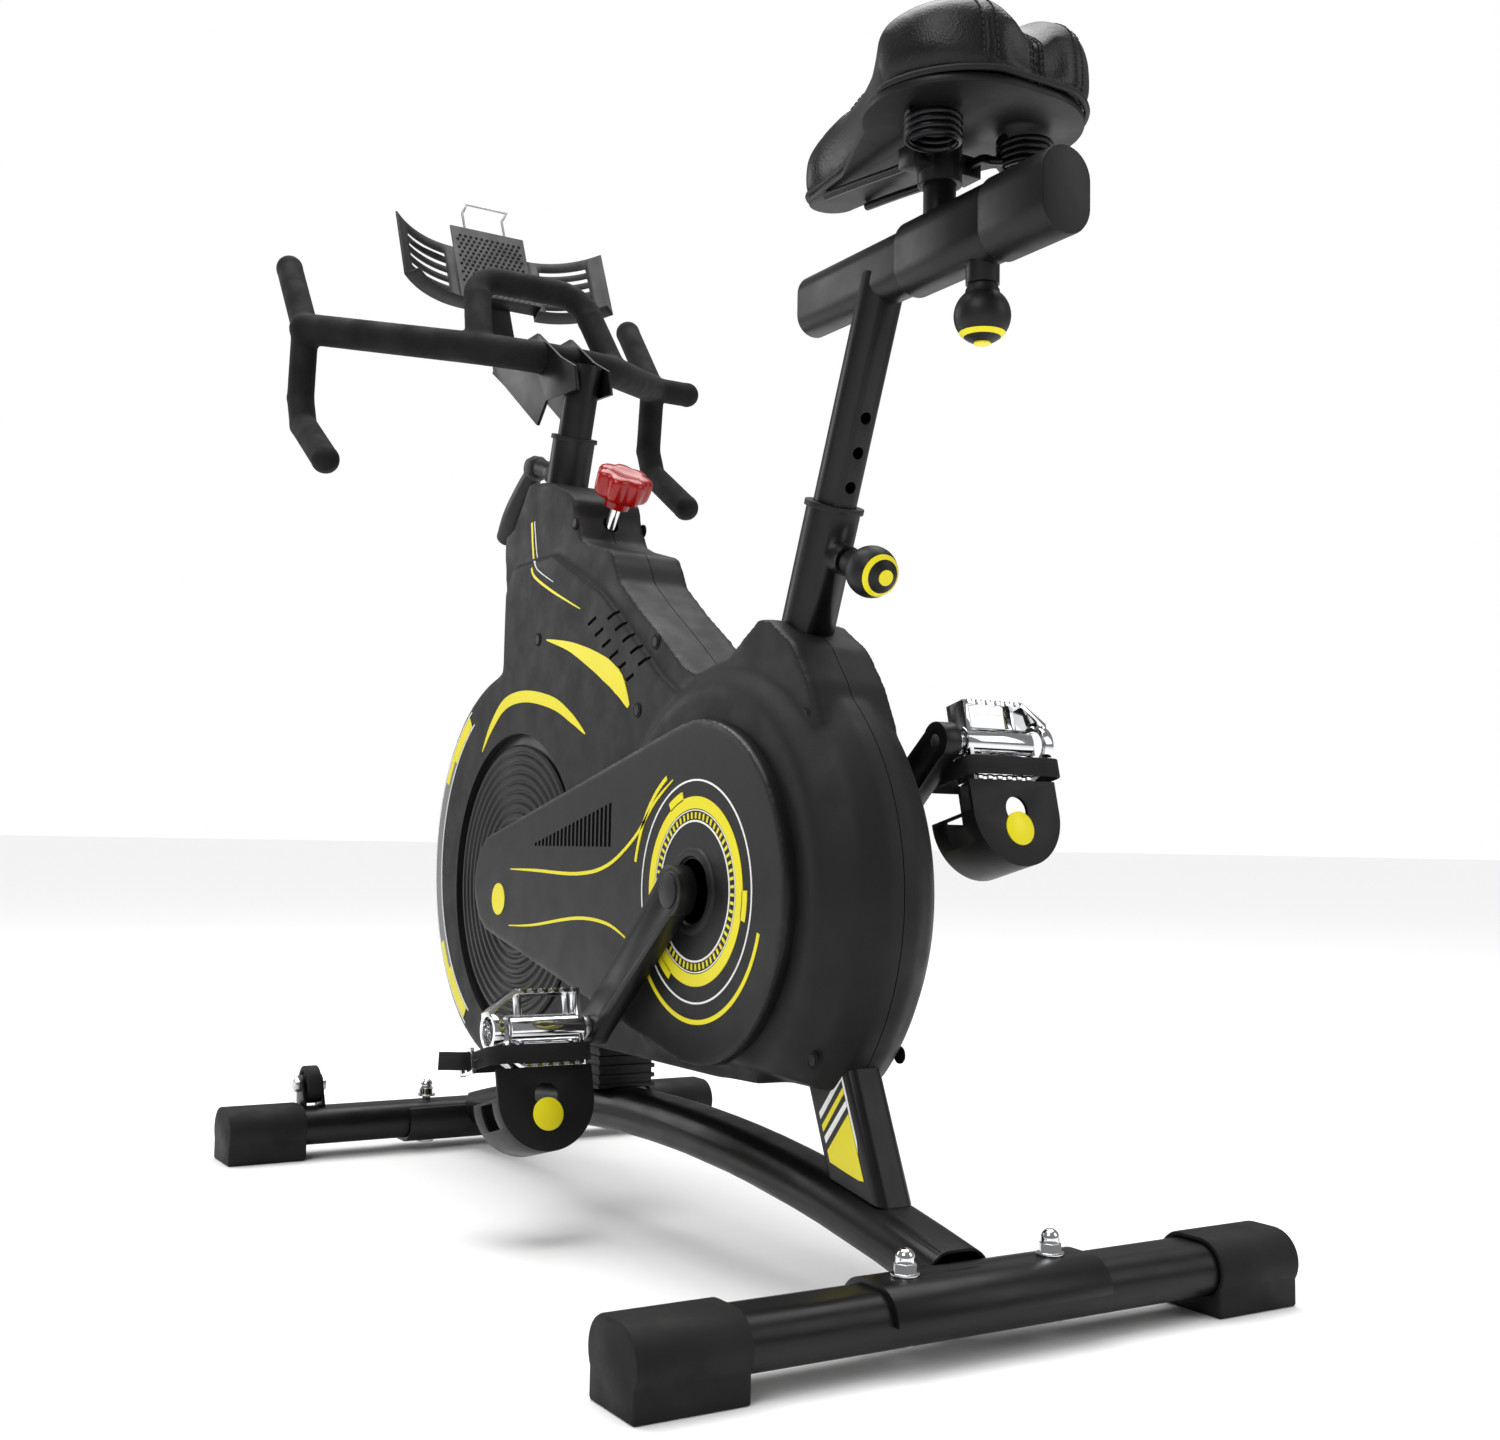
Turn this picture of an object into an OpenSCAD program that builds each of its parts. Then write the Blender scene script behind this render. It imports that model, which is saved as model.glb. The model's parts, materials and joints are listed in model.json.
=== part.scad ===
// Indoor cycling bike with belt-driven flywheel, sprung saddle and multi-grip handlebar.
// Millimetres, +Z up. The rider faces -Y, the rider's left is +X, and the floor is Z = 0.
// Layout distances run forward from the rear stabiliser; every node is then centred on Y = 0.

/* [Stance] */
// Distance between the two stabiliser centrelines
wheelbase = 801; // [760:1:860]
// Length of the rear stabiliser tube
rear_bar_length = 470; // [420:1:560]
// Length of the front stabiliser tube
front_bar_length = 480; // [420:1:560]
// Fore-aft width of the flat-oval stabiliser tube
bar_w = 52; // [48:1:58]
// Height of the flat-oval stabiliser tube
bar_h = 34; // [30:1:38]
// Height of the stabiliser tube's centreline
bar_z = 29; // [26:1:34]
// Wall of the stabiliser and frame tubes
tube_wall = 2; // [1.5:0.1:3]
// Length of each rubber foot
foot_length = 73; // [60:1:90]
// Wall of the rubber foot around the tube
foot_wall = 4; // [3:0.5:6]
// Height of the arch beam's centreline at its highest point
arch_height = 80; // [76:1:84]
// Width of the arch beam
arch_w = 50; // [44:1:54]
// Depth of the arch beam
arch_h = 36; // [30:1:40]

/* [Cranks] */
// Distance of the crank axis in front of the rear stabiliser
crank_setback = 264; // [256:1:272]
// Height of the crank axis
crank_height = 271; // [262:1:285]
// Crank length, axis to axis
crank_length = 170; // [160:1:175]
// Left crank's angle below the horizontal, pointing forward
crank_angle = 41; // [0:1:90]
// Crank arm thickness
crank_t = 14; // [12:0.5:16]
// Distance of the crank's inner face from the middle of the bike
crank_offset = 66; // [66:0.5:72]
// Radius of the crank axle
axle_r = 8.5; // [7.5:0.5:9]
// Radius of the large belt pulley
big_pulley_r = 88; // [70:1:96]
// Radius of the small belt pulley
small_pulley_r = 22; // [18:1:28]
// Width of the belt
belt_w = 9; // [7:1:10]
// Thickness of the belt
belt_t = 2.5; // [2:0.1:3]

/* [Flywheel] */
// Distance of the flywheel axis in front of the rear stabiliser
fly_setback = 640; // [632:1:648]
// Height of the flywheel axis
fly_height = 266; // [260:1:272]
// Flywheel radius
fly_r = 118; // [100:1:120]
// Flywheel rim width
fly_w = 30; // [22:1:32]
// Radius of the flywheel axle
fly_axle_r = 6; // [5:0.5:7]

/* [Shell] */
// Half the width of the shell over its front drum and body
shell_half = 40; // [39:0.5:42]
// Half the width of the shell over its rear drum
rear_half = 50; // [48:0.5:52]
// Half the width of the shell over its neck and seat horn
neck_half = 34; // [32:0.5:36]
// Shell wall
shell_wall = 2.5; // [2:0.1:3]
// Radius of the front drum
front_drum_r = 197; // [190:1:204]
// Radius of the rear drum
rear_drum_r = 183; // [176:1:188]
// Radius of the round recess over the flywheel
recess_r = 140; // [132:1:146]
// Depth of the round recess
recess_depth = 9; // [7:0.5:10]
// Radius of the ridged disc inside the recess
disc_r = 128; // [120:1:130]
// Distance of the belt cover's face from the middle of the bike
cover_face = 60; // [59:0.5:62]
// Radius of the belt cover's large end
cover_big_r = 128; // [118:1:130]
// Radius of the belt cover's small end
cover_small_r = 47; // [42:1:52]

/* [Seat] */
// Rearward lean of the seat tube
seat_lean = 21; // [18:0.5:24]
// Outer radius of the seat tube and the head tube
outer_tube_r = 20; // [19:0.5:22]
// Outer radius of the sliding seat post and handlebar post
post_r = 16; // [14:0.5:17]
// Running clearance of a post in its bushing
post_clearance = 0.08; // [0.03:0.01:0.1]
// Height of the seat tube's rim
seat_rim_z = 549; // [530:1:570]
// Height of the horizontal slide tube's centreline
slide_z = 706; // [690:1:740]
// Height of the slide tube
slide_h = 46; // [42:1:50]
// Width of the slide tube
slide_w = 30; // [26:1:34]
// Length of the slide tube
slide_length = 222; // [210:1:230]
// Wall of the sleeve that runs on the slide tube
sleeve_wall = 3; // [2.5:0.1:4]
// Length of the sleeve
sleeve_length = 90; // [84:1:96]
// Play between the slide tube and the sleeve
slide_play = 0.4; // [0.3:0.1:0.6]
// Width of the saddle
saddle_w = 162; // [150:1:190]
// Length of the saddle
saddle_l = 256; // [240:1:280]
// Height of the saddle pad
saddle_h = 62; // [54:1:70]
// Height of the saddle pad's underside
saddle_z = 783; // [778:1:792]
// Wire radius of the saddle springs and rails
wire_r = 3; // [2.5:0.1:3.5]

/* [Handlebar] */
// Rearward lean of the handlebar post
bar_lean = 17.5; // [15:0.5:20]
// Height of the head tube's rim
head_rim_z = 686; // [670:1:700]
// Radius of the padded main bar
grip_r = 15.5; // [14:0.5:17]
// Radius of the padded horns and drops
horn_r = 13.5; // [12:0.5:14]
// Half the distance between the two horns
horn_half = 198; // [185:1:215]
// Half the angle the main bar sweeps before its arms run straight
bar_half_angle = 52; // [48:1:56]
// Upward tilt of the main bar towards the front
bar_tilt = 13.5; // [10:0.5:16]
// Bend radius of the main bar
bar_bend_r = 109; // [100:1:115]
// Length of the bar end that stands out past the right horn
stub_length = 44; // [30:1:50]
// Lean of the tablet holder from vertical
holder_lean = 24; // [16:1:32]
// Thickness of the tablet holder's sheet
holder_t = 2; // [1.5:0.1:2.5]

/* [Pedals] */
// Length of the pedal cage along its spindle
cage_l = 76; // [70:1:80]
// Width of the pedal cage across its spindle
cage_w = 60; // [54:1:64]
// Height of the pedal cage plates
cage_h = 20; // [18:1:24]
// Turn of a hanging pedal, toe clip down
pedal_hang = 104; // [90:1:110]
// Strap thickness
strap_t = 2; // [1.5:0.1:2.5]
// Strap width
strap_w = 14; // [12:1:16]

/* [Hidden] */
$fn = 64;

hair = 0.02;
tangent = 0.08;
seat_gap = 0.05;
recess_lip = 1;
front_y = -wheelbase;
crank_y = -crank_setback;
fly_y = -fly_setback;

// Stabilisers and their fixings
bolt_r = 4;
bolt_clear = 0.3;
bolt_x = 57;
wrap_t = 4;
wrap_half = 83;
plate_w = bar_w + 2 * wrap_t;
plate_h = bar_h + 2 * wrap_t;
nut_z = bar_z + plate_h / 2;
nut_h = 6;

// Arch beam: an arc that rests on the two stabilisers at foot level
arch_drop = arch_height - bar_z - 3;
arch_half = wheelbase / 2;
arch_r = (arch_half * arch_half + arch_drop * arch_drop) / (2 * arch_drop);
arch_angle = asin(arch_half / arch_r);
arch_mid_y = front_y / 2;

// Rear leg, from the arch beam up to the bottom bracket
leg_foot = [-112, 62];
leg_lean = 24;
leg_l = 196;
leg_w = 30;
leg_d = 56;

// Post under the shell
upright_y = -497;
upright_top = 170;

// Seat and head tube axes
seat_foot_z = crank_height + 12;
seat_pin_z = 520;
function seat_y(z) = crank_y + 92 + (z - 549) * tan(seat_lean);
head_foot_z = 540;
lever_z = 652;
function head_y(z) = -672 + (z - 505) * tan(bar_lean);
seat_tube_l = (seat_rim_z - seat_foot_z) / cos(seat_lean);
head_tube_l = (head_rim_z - head_foot_z) / cos(bar_lean);

// Transport wheels
wheel_x = 172;
wheel_r = 18;
wheel_w = 13;
wheel_y = front_y - 12;
wheel_z = bar_z + bar_h / 2 + wheel_r + 2;
wheel_axle_r = 4;
wheel_gap = 1;
bracket_t = 3;

// Belt plane, left of the frame
belt_x = shell_half + 2;
pulley_w = belt_w + 3;
belt_gap = 0.35;
belt_run = sqrt(pow(fly_y - crank_y, 2) + pow(fly_height - crank_height, 2));
belt_slope = atan2(crank_height - fly_height, crank_y - fly_y);

// Bottom bracket and bearings
bracket_half = 34;
bracket_r = 23;
bearing_w = 12;
bearing_r = 18;
running = 0.05;

// Flywheel hub and the plates that carry it
fork_x = fly_w / 2 + 6;
fork_t = 6;
hub_r = 24;
hub_half = fly_w / 2 + 3;
fly_bearing_r = 16;
fly_bearing_w = 10;
axle_end = belt_x + pulley_w + 2;

// Shell
drum_y = fly_y - 17;
drum_z = fly_height + 15;
drum_flat = 18;
shell_floor = 132;

// Pedals
pedal_x = crank_offset + crank_t;
cage_x0 = pedal_x + 9;
spindle_r = 5;
barrel_r = 11.5;
pedal_dy = crank_length * cos(crank_angle);
pedal_dz = crank_length * sin(crank_angle);
plate_t = 3.5;
clip_mid = cage_x0 + 35;
clip_l = 64;
clip_h = 50;
clip_w = 80;
clip_t = 3;
bolt_spots = [clip_mid - 12, clip_mid + 12];

// Brake rod, shoe and knob
rod_top = [-545, 574];
rod_lean = 34;
rod_in = 208;
rod_out = 58;
rod_r = 5;
knob_r = 27;
knob_h = 24;
shoe_gap = 4;

// Slide tube and saddle
slide_front = -202;
slide_back = slide_front + slide_length;
sleeve_h = slide_h + 2 * (sleeve_wall + slide_play);
sleeve_w = slide_w + 2 * (sleeve_wall + slide_play);
sleeve_y0 = -76;
sleeve_y1 = sleeve_y0 + sleeve_length;
cap_l = 62;
post_bottom_z = 400;
hole_pitch = 25;
knob_y = -4;
stub_y = -50;
stub_r = 11;
clamp_z = saddle_z - 20;
saddle_front = 54 - saddle_l;
lobe_y = -15;
lobe_r = saddle_w / 2 - 12;
nose_r = 24;
pan_t = 6;
rail_x = 18;
spring_r = 20;
spring_x = 38;
spring_y = -8;
spring_z = 752;
rail_nose = [rail_x, -160, saddle_z - pan_t - wire_r];
rail_front = [rail_x, stub_y - 20, clamp_z + 1];
rail_back = [rail_x, stub_y + 22, clamp_z + 1];
rail_tail = [spring_x - spring_r + 4, spring_y, spring_z + wire_r + 2];

// Pull knobs
pin_r = 4;
neck_r = 7.5;
ball_r = 18.5;
pin_gap = 0.4;
pin_travel = 7;
lever_out = 77;
lever_end = [-773, 619];

// Handlebar: an arc with straight arms, in a plane that rises to the front
bar_mid = [0, -653, 773];
arm_x = bar_bend_r * sin(bar_half_angle);
arm_l = (horn_half - arm_x) / cos(bar_half_angle);
bar_reach = bar_bend_r * (1 - cos(bar_half_angle)) + arm_l * sin(bar_half_angle);
joint = 0.5;
horn_y = bar_mid[1] - bar_reach * cos(bar_tilt);
horn_z = bar_mid[2] + bar_reach * sin(bar_tilt);
horn_tip = [horn_y - 64, horn_z + 80];
drop_knee = [horn_y - 7, horn_z - 70];
drop_elbow = [horn_y + 6, horn_z - 100];
drop_end = [horn_y + 83, horn_z - 149];
loop_x = 62;
loop_bend = 32;
loop_leg = 72;
loop_lean = 30.5;
loop_foot = [-678, 778];
foam_t = 4;
bar_post_z = 515;
plate_top_z = bar_mid[2] - grip_r - 2;
bar_pin_y = -770;

// Tablet holder, in its own plane: x across, y up the plane, z towards the rider
holder_foot = [-806, 866];
panel_w = 84;
panel_l = 104;
wing_r = 105;
wing_angle = 47;
wing_v0 = -8;
wing_v1 = 74;
lip_l = 15;
clip_r = 1.5;
clip_half = 23;
clip_up = 26;

// The whole bike is centred between its foremost and rearmost points
front_reach = horn_tip[0] - horn_r;
rear_reach = sleeve_y1 + cap_l;
y_mid = -(front_reach + rear_reach) / 2;

// ---------------------------------------------------------------- helpers

module placed() translate([0, y_mid, 0]) children();

// A rod along X at a place in the side view
module x_rod(y, z, r, x0, x1) translate([x0, y, z]) rotate([0, 90, 0]) cylinder(r = r, h = x1 - x0);

// A rod between two points
module rod(a, b, r) {
    d = b - a;
    l = norm(d);
    translate(a)
        rotate([0, acos(d[2] / l), atan2(d[1], d[0])])
            cylinder(r = r, h = l);
}

// A local frame whose +Z leans back by an angle, at a place in the side view
module leaning(y, z, angle) translate([0, y, z]) rotate([-angle, 0, 0]) children();

// A flat oval, w wide and h high
module oval(w, h) {
    square([w - h, h], center = true);
    for (s = [-1, 1]) translate([s * (w - h) / 2, 0]) circle(d = h);
}

// An upright flat oval, w wide and h high
module tall_oval(w, h) rotate(90) oval(h, w);

// A flat-oval bar along X at the height of the stabilisers
module cross_bar(w, h, x0, x1)
    translate([x0, 0, bar_z]) rotate([90, 0, 90]) linear_extrude(x1 - x0) oval(w, h);

// A prism across the bike from an outline drawn in the side view
module side_prism(x0, x1) translate([x0, 0, 0]) rotate([90, 0, 90]) linear_extrude(x1 - x0) children();

// Both mirror images across the middle of the bike
module both() for (s = [0, 1]) mirror([s, 0, 0]) children();

module ring(r_out, r_in, h)
    difference() {
        cylinder(r = r_out, h = h);
        translate([0, 0, -1]) cylinder(r = r_in, h = h + 2);
    }

// ---------------------------------------------------------------- stabilisers

module stabiliser(length)
    difference() {
        cross_bar(bar_w, bar_h, -length / 2, length / 2);
        cross_bar(bar_w - 2 * tube_wall, bar_h - 2 * tube_wall, -length / 2 - 1, length / 2 + 1);
        for (s = [-1, 1])
            translate([s * bolt_x, 0, 0]) cylinder(r = bolt_r + bolt_clear, h = bar_z + bar_h);
    }

module stabilisers() color("#1b1b1c") placed() {
    stabiliser(rear_bar_length);
    translate([0, front_y, 0]) stabiliser(front_bar_length);
}

// A closed rubber cap over one end of a stabiliser, with a block down to the floor
module foot(bar_length) {
    outer = bar_length / 2 + 18;
    inner = outer - foot_length;
    difference() {
        union() {
            cross_bar(bar_w + 2 * foot_wall, bar_h + 2 * foot_wall, inner, outer);
            translate([inner, -bar_w / 2 - 1, 0]) cube([foot_length, bar_w + 2, bar_z]);
        }
        cross_bar(bar_w, bar_h, inner - 1, bar_length / 2);
    }
}

module feet() color("#161616") placed() {
    both() foot(rear_bar_length);
    translate([0, front_y, 0]) both() foot(front_bar_length);
}

// The wrapped plate that clamps a stabiliser from above
module wrap_plate(half, z0)
    difference() {
        intersection() {
            cross_bar(plate_w, plate_h, -half, half);
            translate([-half - 1, -plate_w, z0]) cube([2 * half + 2, 2 * plate_w, plate_h]);
        }
        cross_bar(bar_w, bar_h, -half - 1, half + 1);
        for (s = [-1, 1])
            translate([s * bolt_x, 0, 0]) cylinder(r = bolt_r + bolt_clear, h = bar_z + plate_h);
    }

module front_sleeve() color("#1b1b1c") placed() translate([0, front_y, 0]) wrap_plate(wrap_half, 0);

// A domed nut on its washer, with a blind thread
module acorn_nut() {
    ring(bolt_r + 5, bolt_r, 1.6);
    translate([0, 0, 1.6]) difference() {
        union() {
            cylinder(r = 7.5, h = nut_h, $fn = 6);
            translate([0, 0, nut_h]) cylinder(r = 6, h = 3);
            translate([0, 0, nut_h + 3]) sphere(r = 6);
        }
        translate([0, 0, -1]) cylinder(r = bolt_r, h = nut_h + 2);
    }
}

// The sleeve at the front runs under its tube, so its bolts start lower
module stabiliser_bolts() color("#c8c8c8") placed()
    for (end = [[0, bar_z - bar_h / 2], [front_y, bar_z - plate_h / 2]], s = [-1, 1])
        translate([s * bolt_x, end[0], 0]) {
            translate([0, 0, end[1]]) cylinder(r = bolt_r, h = nut_z + nut_h - end[1]);
            translate([0, 0, end[1] - 2.5]) cylinder(r = bolt_r + 4, h = 2.5);
            translate([0, 0, nut_z]) acorn_nut();
        }

// ---------------------------------------------------------------- frame

// The curved floor beam, welded to the plate that wraps over the rear stabiliser
module arch_beam() color("#1b1b1c") placed() {
    difference() {
        translate([0, arch_mid_y, arch_height - arch_r]) rotate([0, 90, 0])
            rotate([0, 0, 180 - arch_angle])
                rotate_extrude(angle = 2 * arch_angle, $fn = 256)
                    translate([arch_r, 0]) rotate(90) difference() {
                        oval(arch_w, arch_h);
                        oval(arch_w - 2 * tube_wall, arch_h - 2 * tube_wall);
                    }
        cross_bar(plate_w - 1, plate_h - 1, -arch_w, arch_w);
        translate([0, front_y, 0]) cross_bar(plate_w, plate_h, -arch_w, arch_w);
        translate([-arch_w, -plate_w / 2 + 10, 0]) cube([2 * arch_w, plate_w, 2 * arch_height]);
        translate([-arch_w, front_y - plate_w, 0]) cube([2 * arch_w, plate_w, 2 * arch_height]);
    }
    wrap_plate(wrap_half, bar_z);
}

// The fore-aft strip between two points of the side view
module strip(a, b, w) {
    d = b - a;
    translate(a) rotate(atan2(d[1], d[0])) translate([0, tangent - w / 2]) square([norm(d), w - 2 * tangent]);
    translate(a) circle(d = w);
    translate(b) circle(d = w);
}

module leg_axis() translate([0, leg_foot[0], leg_foot[1]]) rotate([leg_lean, 0, 0]) children();

// Rounded rectangular tube from the arch beam up to the bottom bracket, with a plate between them
module rear_leg() color("#1b1b1c") placed() {
    difference() {
        leg_axis() translate([0, 0, -30]) difference() {
            linear_extrude(leg_l + 30) oval_box(leg_w, leg_d);
            translate([0, 0, -1]) linear_extrude(leg_l + 40)
                oval_box(leg_w - 2 * tube_wall, leg_d - 2 * tube_wall);
        }
        arch_block();
    }
    difference() {
        side_prism(-3, 3) polygon([
            [crank_y + 10, crank_height - 20], [crank_y + 22, crank_height + 8],
            [leg_foot[0] - 62, leg_foot[1] + 172], [leg_foot[0] - 84, leg_foot[1] + 120]
        ]);
        x_rod(crank_y, crank_height, bracket_r, -40, 40);
        leg_axis() linear_extrude(leg_l) oval_box(leg_w - hair, leg_d - hair);
        seat_axis_z(crank_height) cylinder(r = outer_tube_r, h = 200);
    }
}

module oval_box(w, d) {
    c = 8;
    square([w, d - 2 * c], center = true);
    square([w - 2 * c, d], center = true);
    for (x = [-1, 1], y = [-1, 1]) translate([x * (w / 2 - c), y * (d / 2 - c)]) circle(r = c);
}

// Everything at and below the arch beam's surface, used to cut what stands on it
module arch_block()
    translate([0, arch_mid_y, arch_height - arch_r]) rotate([0, 90, 0])
        cylinder(r = arch_r + arch_h / 2, h = 200, center = true, $fn = 512);

module seat_axis_z(z) leaning(seat_y(z), z, seat_lean) children();
module head_axis_z(z) leaning(head_y(z), z, bar_lean) children();

// Outer seat tube, with the boss for the pull pin behind it
module seat_tube() color("#1b1b1c") placed() difference() {
    union() {
        seat_axis_z(seat_foot_z) cylinder(r = outer_tube_r, h = seat_tube_l);
        seat_axis_z(seat_pin_z) rotate([-90, 0, 0]) cylinder(r = 11, h = outer_tube_r + 13);
    }
    seat_axis_z(seat_foot_z) translate([0, 0, -1])
        cylinder(r = outer_tube_r - tube_wall, h = seat_tube_l + 2);
    seat_axis_z(seat_pin_z) rotate([-90, 0, 0]) cylinder(r = pin_r + pin_gap, h = 60);
    x_rod(crank_y, crank_height, bracket_r, -60, 60);
}

// Outer head tube, with a foot block between the fork plates and a boss for the lever in front
module head_tube() color("#1b1b1c") placed() difference() {
    union() {
        head_axis_z(head_foot_z) cylinder(r = outer_tube_r, h = head_tube_l);
        head_axis_z(head_foot_z) translate([-fork_x, -24, 0]) cube([2 * fork_x, 48, 24]);
        head_axis_z(lever_z) rotate([90, 0, 0]) cylinder(r = 11, h = outer_tube_r + 16);
    }
    head_axis_z(head_foot_z) translate([0, 0, -1])
        cylinder(r = outer_tube_r - tube_wall, h = head_tube_l + 2);
    head_axis_z(lever_z) rotate([90, 0, 0]) cylinder(r = pin_r + pin_gap, h = 60);
}

// Two side plates that carry the flywheel and join it to the bottom bracket and the head tube
module flywheel_fork() color("#232324") placed() both() difference() {
    union() {
        side_prism(fork_x, fork_x + fork_t) {
            strip([head_y(head_foot_z + 14), head_foot_z + 14], [fly_y, fly_height], 44);
            strip([fly_y, fly_height], [crank_y, crank_height], 44);
            strip([fly_y, fly_height], [upright_y, upright_top], 40);
        }
        x_rod(fly_y, fly_height, fly_bearing_r + 5, fork_x, fork_x + fly_bearing_w);
    }
    x_rod(fly_y, fly_height, fly_bearing_r, 0, 60);
    x_rod(crank_y, crank_height, bracket_r, 0, 60);
}

module bottom_bracket() color("#232324") placed() {
    x_rod_tube(crank_y, crank_height, bracket_r, bearing_r, -bracket_half, bracket_half);
}

module x_rod_tube(y, z, r, r_in, x0, x1)
    difference() {
        x_rod(y, z, r, x0, x1);
        x_rod(y, z, r_in, x0 - 1, x1 + 1);
    }

// Post between the arch beam and the fork plates
module mid_upright() color("#232324") placed() difference() {
    translate([-fork_x, upright_y - 14, 40]) cube([2 * fork_x, 28, upright_top - 40 + 12]);
    translate([-fork_x + tube_wall, upright_y - 14 + tube_wall, 30])
        cube([2 * (fork_x - tube_wall), 28 - 2 * tube_wall, upright_top - 20]);
    arch_block();
}

// Ribbed plastic sleeve round the post under the shell
module upright_cover() color("#131314") placed() difference() {
    union() {
        translate([-fork_x - 4, upright_y - 18, 60]) cube([2 * fork_x + 8, 36, 78]);
        for (i = [0:5])
            translate([-fork_x - 6, upright_y - 20, 88 + i * 8]) cube([2 * fork_x + 12, 40, 3.5]);
    }
    translate([-fork_x, upright_y - 14, 0]) cube([2 * fork_x, 28, 200]);
    arch_block();
}

// ---------------------------------------------------------------- shell

// A side outline whose corners move inward by g along their own directions
function outline(points, g) = [for (p = points) [p[0] + g * p[2], p[1] + g * p[3]]];

neck_points = [
    [-690, 440, 1, 1], [-688, 532, 1, 0], [-696, 598, 1, -1], [-678, 604, 1, -1], [-641, 644, 0.6, -1],
    [-550, 621, -1, -1], [-538, 614, -1, -1], [-536, 596, -1, 0], [-522, 572, 0, -1], [-458, 556, -1, -1],
    [-450, 530, -1, -1], [-376, 477, -1, -1], [-318, 438, 0, -1], [-282, 438, 0, -1], [-222, 470, 0, -1],
    [-172, 449, -1, -1], [-140, 400, -1, 0], [crank_y, crank_height, 0, 0], [fly_y, fly_height, 0, 0]
];
side_points = [
    [-686, 440, 1, 1], [-678, 556, 1, -1], [-560, 556, 0, -1], [-470, 520, -0.5, -1], [-390, 462, -0.5, -1],
    [-320, 416, 0, -1], [crank_y, 404, 0, -1], [crank_y, shell_floor, 0, 1], [-545, shell_floor, 0, 1]
];

module drum(y, z, r, slope, half, g) {
    x_rod(y, z, r - g, -drum_flat, drum_flat);
    for (s = [-1, 1])
        translate([s * drum_flat, y, z]) rotate([0, s * 90, 0])
            cylinder(r1 = r - g, r2 = r - g - slope, h = half - g - drum_flat);
}

module shell_form(g) {
    drum(drum_y, drum_z, front_drum_r, 13, shell_half, g);
    difference() {
        drum(crank_y, crank_height, rear_drum_r, 33, rear_half, g);
        translate([-100, crank_y - 250, -200]) cube([200, 500, 200 + shell_floor + g]);
    }
    side_prism(-neck_half + g, neck_half - g) polygon(outline(neck_points, g));
    side_prism(-shell_half + g, shell_half - g) polygon(outline(side_points, g));
}

module shell_wall_form() difference() {
    shell_form(0);
    shell_form(shell_wall);
    both() x_rod(fly_y, fly_height, recess_r - recess_lip, 10, 60);
}

// Both shell halves as one hollow body with its openings
module shell_hollow() difference() {
    union() {
        shell_wall_form();
        both() x_rod_tube(
            fly_y, fly_height, recess_r + shell_wall, recess_r, shell_half - recess_depth, shell_half
        );
    }
    seat_axis_z(400) cylinder(r = outer_tube_r + 0.5, h = 200);
    head_axis_z(540) cylinder(r = outer_tube_r + 0.5, h = 200);
    leg_axis() translate([0, 0, -10]) linear_extrude(leg_l) oval_box(leg_w + 1, leg_d + 1);
    translate([-fork_x - 4.5, upright_y - 18.5, 40]) cube([2 * fork_x + 9, 37, 120]);
    x_rod(crank_y, crank_height, 24, -60, 60);
    both() side_prism(30, 60) teardrop(6);
    both() screw_rods();
    leaning(rod_top[0], rod_top[1], rod_lean) translate([0, 0, -60]) cylinder(r = rod_r + 2, h = 120);
    for (i = [0:5], j = [0:1])
        translate([0, -478 + i * 13, 506 - i * 9 - j * 26])
            rotate([50, 0, 0]) cube([100, 16, 4], center = true);
}

module half_space(s) translate([s > 0 ? 0 : -100, -1000, 0]) cube([100, 1100, 700]);

module left_shell() color("#19191a") placed() intersection() {
    shell_hollow();
    half_space(1);
}

module right_shell() color("#19191a") placed() intersection() {
    shell_hollow();
    half_space(-1);
}

// Teardrop with straight sides between the two round ends
module teardrop(g) {
    translate([fly_y, fly_height]) circle(r = cover_small_r - g);
    translate([crank_y, crank_height]) circle(r = cover_big_r - g);
    a = asin((cover_big_r - cover_small_r) / belt_run);
    n0 = [cos(belt_slope + 90 + a), sin(belt_slope + 90 + a)];
    n1 = [cos(belt_slope - 90 - a), sin(belt_slope - 90 - a)];
    b = g + tangent;
    polygon([
        [fly_y, fly_height] + (cover_small_r - b) * n0, [crank_y, crank_height] + (cover_big_r - b) * n0,
        [crank_y, crank_height] + (cover_big_r - b) * n1, [fly_y, fly_height] + (cover_small_r - b) * n1
    ]);
}

module side_cover() difference() {
    side_prism(shell_half - recess_depth + 5.5, cover_face) teardrop(0);
    side_prism(0, cover_face - shell_wall) teardrop(shell_wall);
    x_rod(crank_y, crank_height, 24, 0, 90);
    difference() {
        shell_form(-seat_gap);
        x_rod(fly_y, fly_height, recess_r - recess_lip - seat_gap, shell_half - recess_depth, 60);
    }
}

module side_covers() color("#1c1c1d") placed() both() side_cover();

// Ridged discs that close the two recesses over the flywheel
module flywheel_covers() color("#202022") placed() both() difference() {
    union() {
        x_rod(fly_y, fly_height, recess_r, shell_half - recess_depth, shell_half - recess_depth + 2.5);
        for (r = [60:12:disc_r])
            x_rod_tube(fly_y, fly_height, r, r - 4, shell_half - recess_depth, shell_half - recess_depth + 5);
    }
    x_rod(fly_y, fly_height, fly_bearing_r + 1, 0, 90);
}

screw_points = [[-655, 535], [-596, 491], [-420, 455], [-700, 428], [-800, 268], [-530, 150]];

module screw_rods() for (p = screw_points) x_rod(p[0], p[1], 4, shell_half - shell_wall, shell_half + 1);

// Screws that close the shell, through both side walls
module shell_screws() color("#2a2a2b") placed() both() screw_rods();

// ---------------------------------------------------------------- bushings

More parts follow.
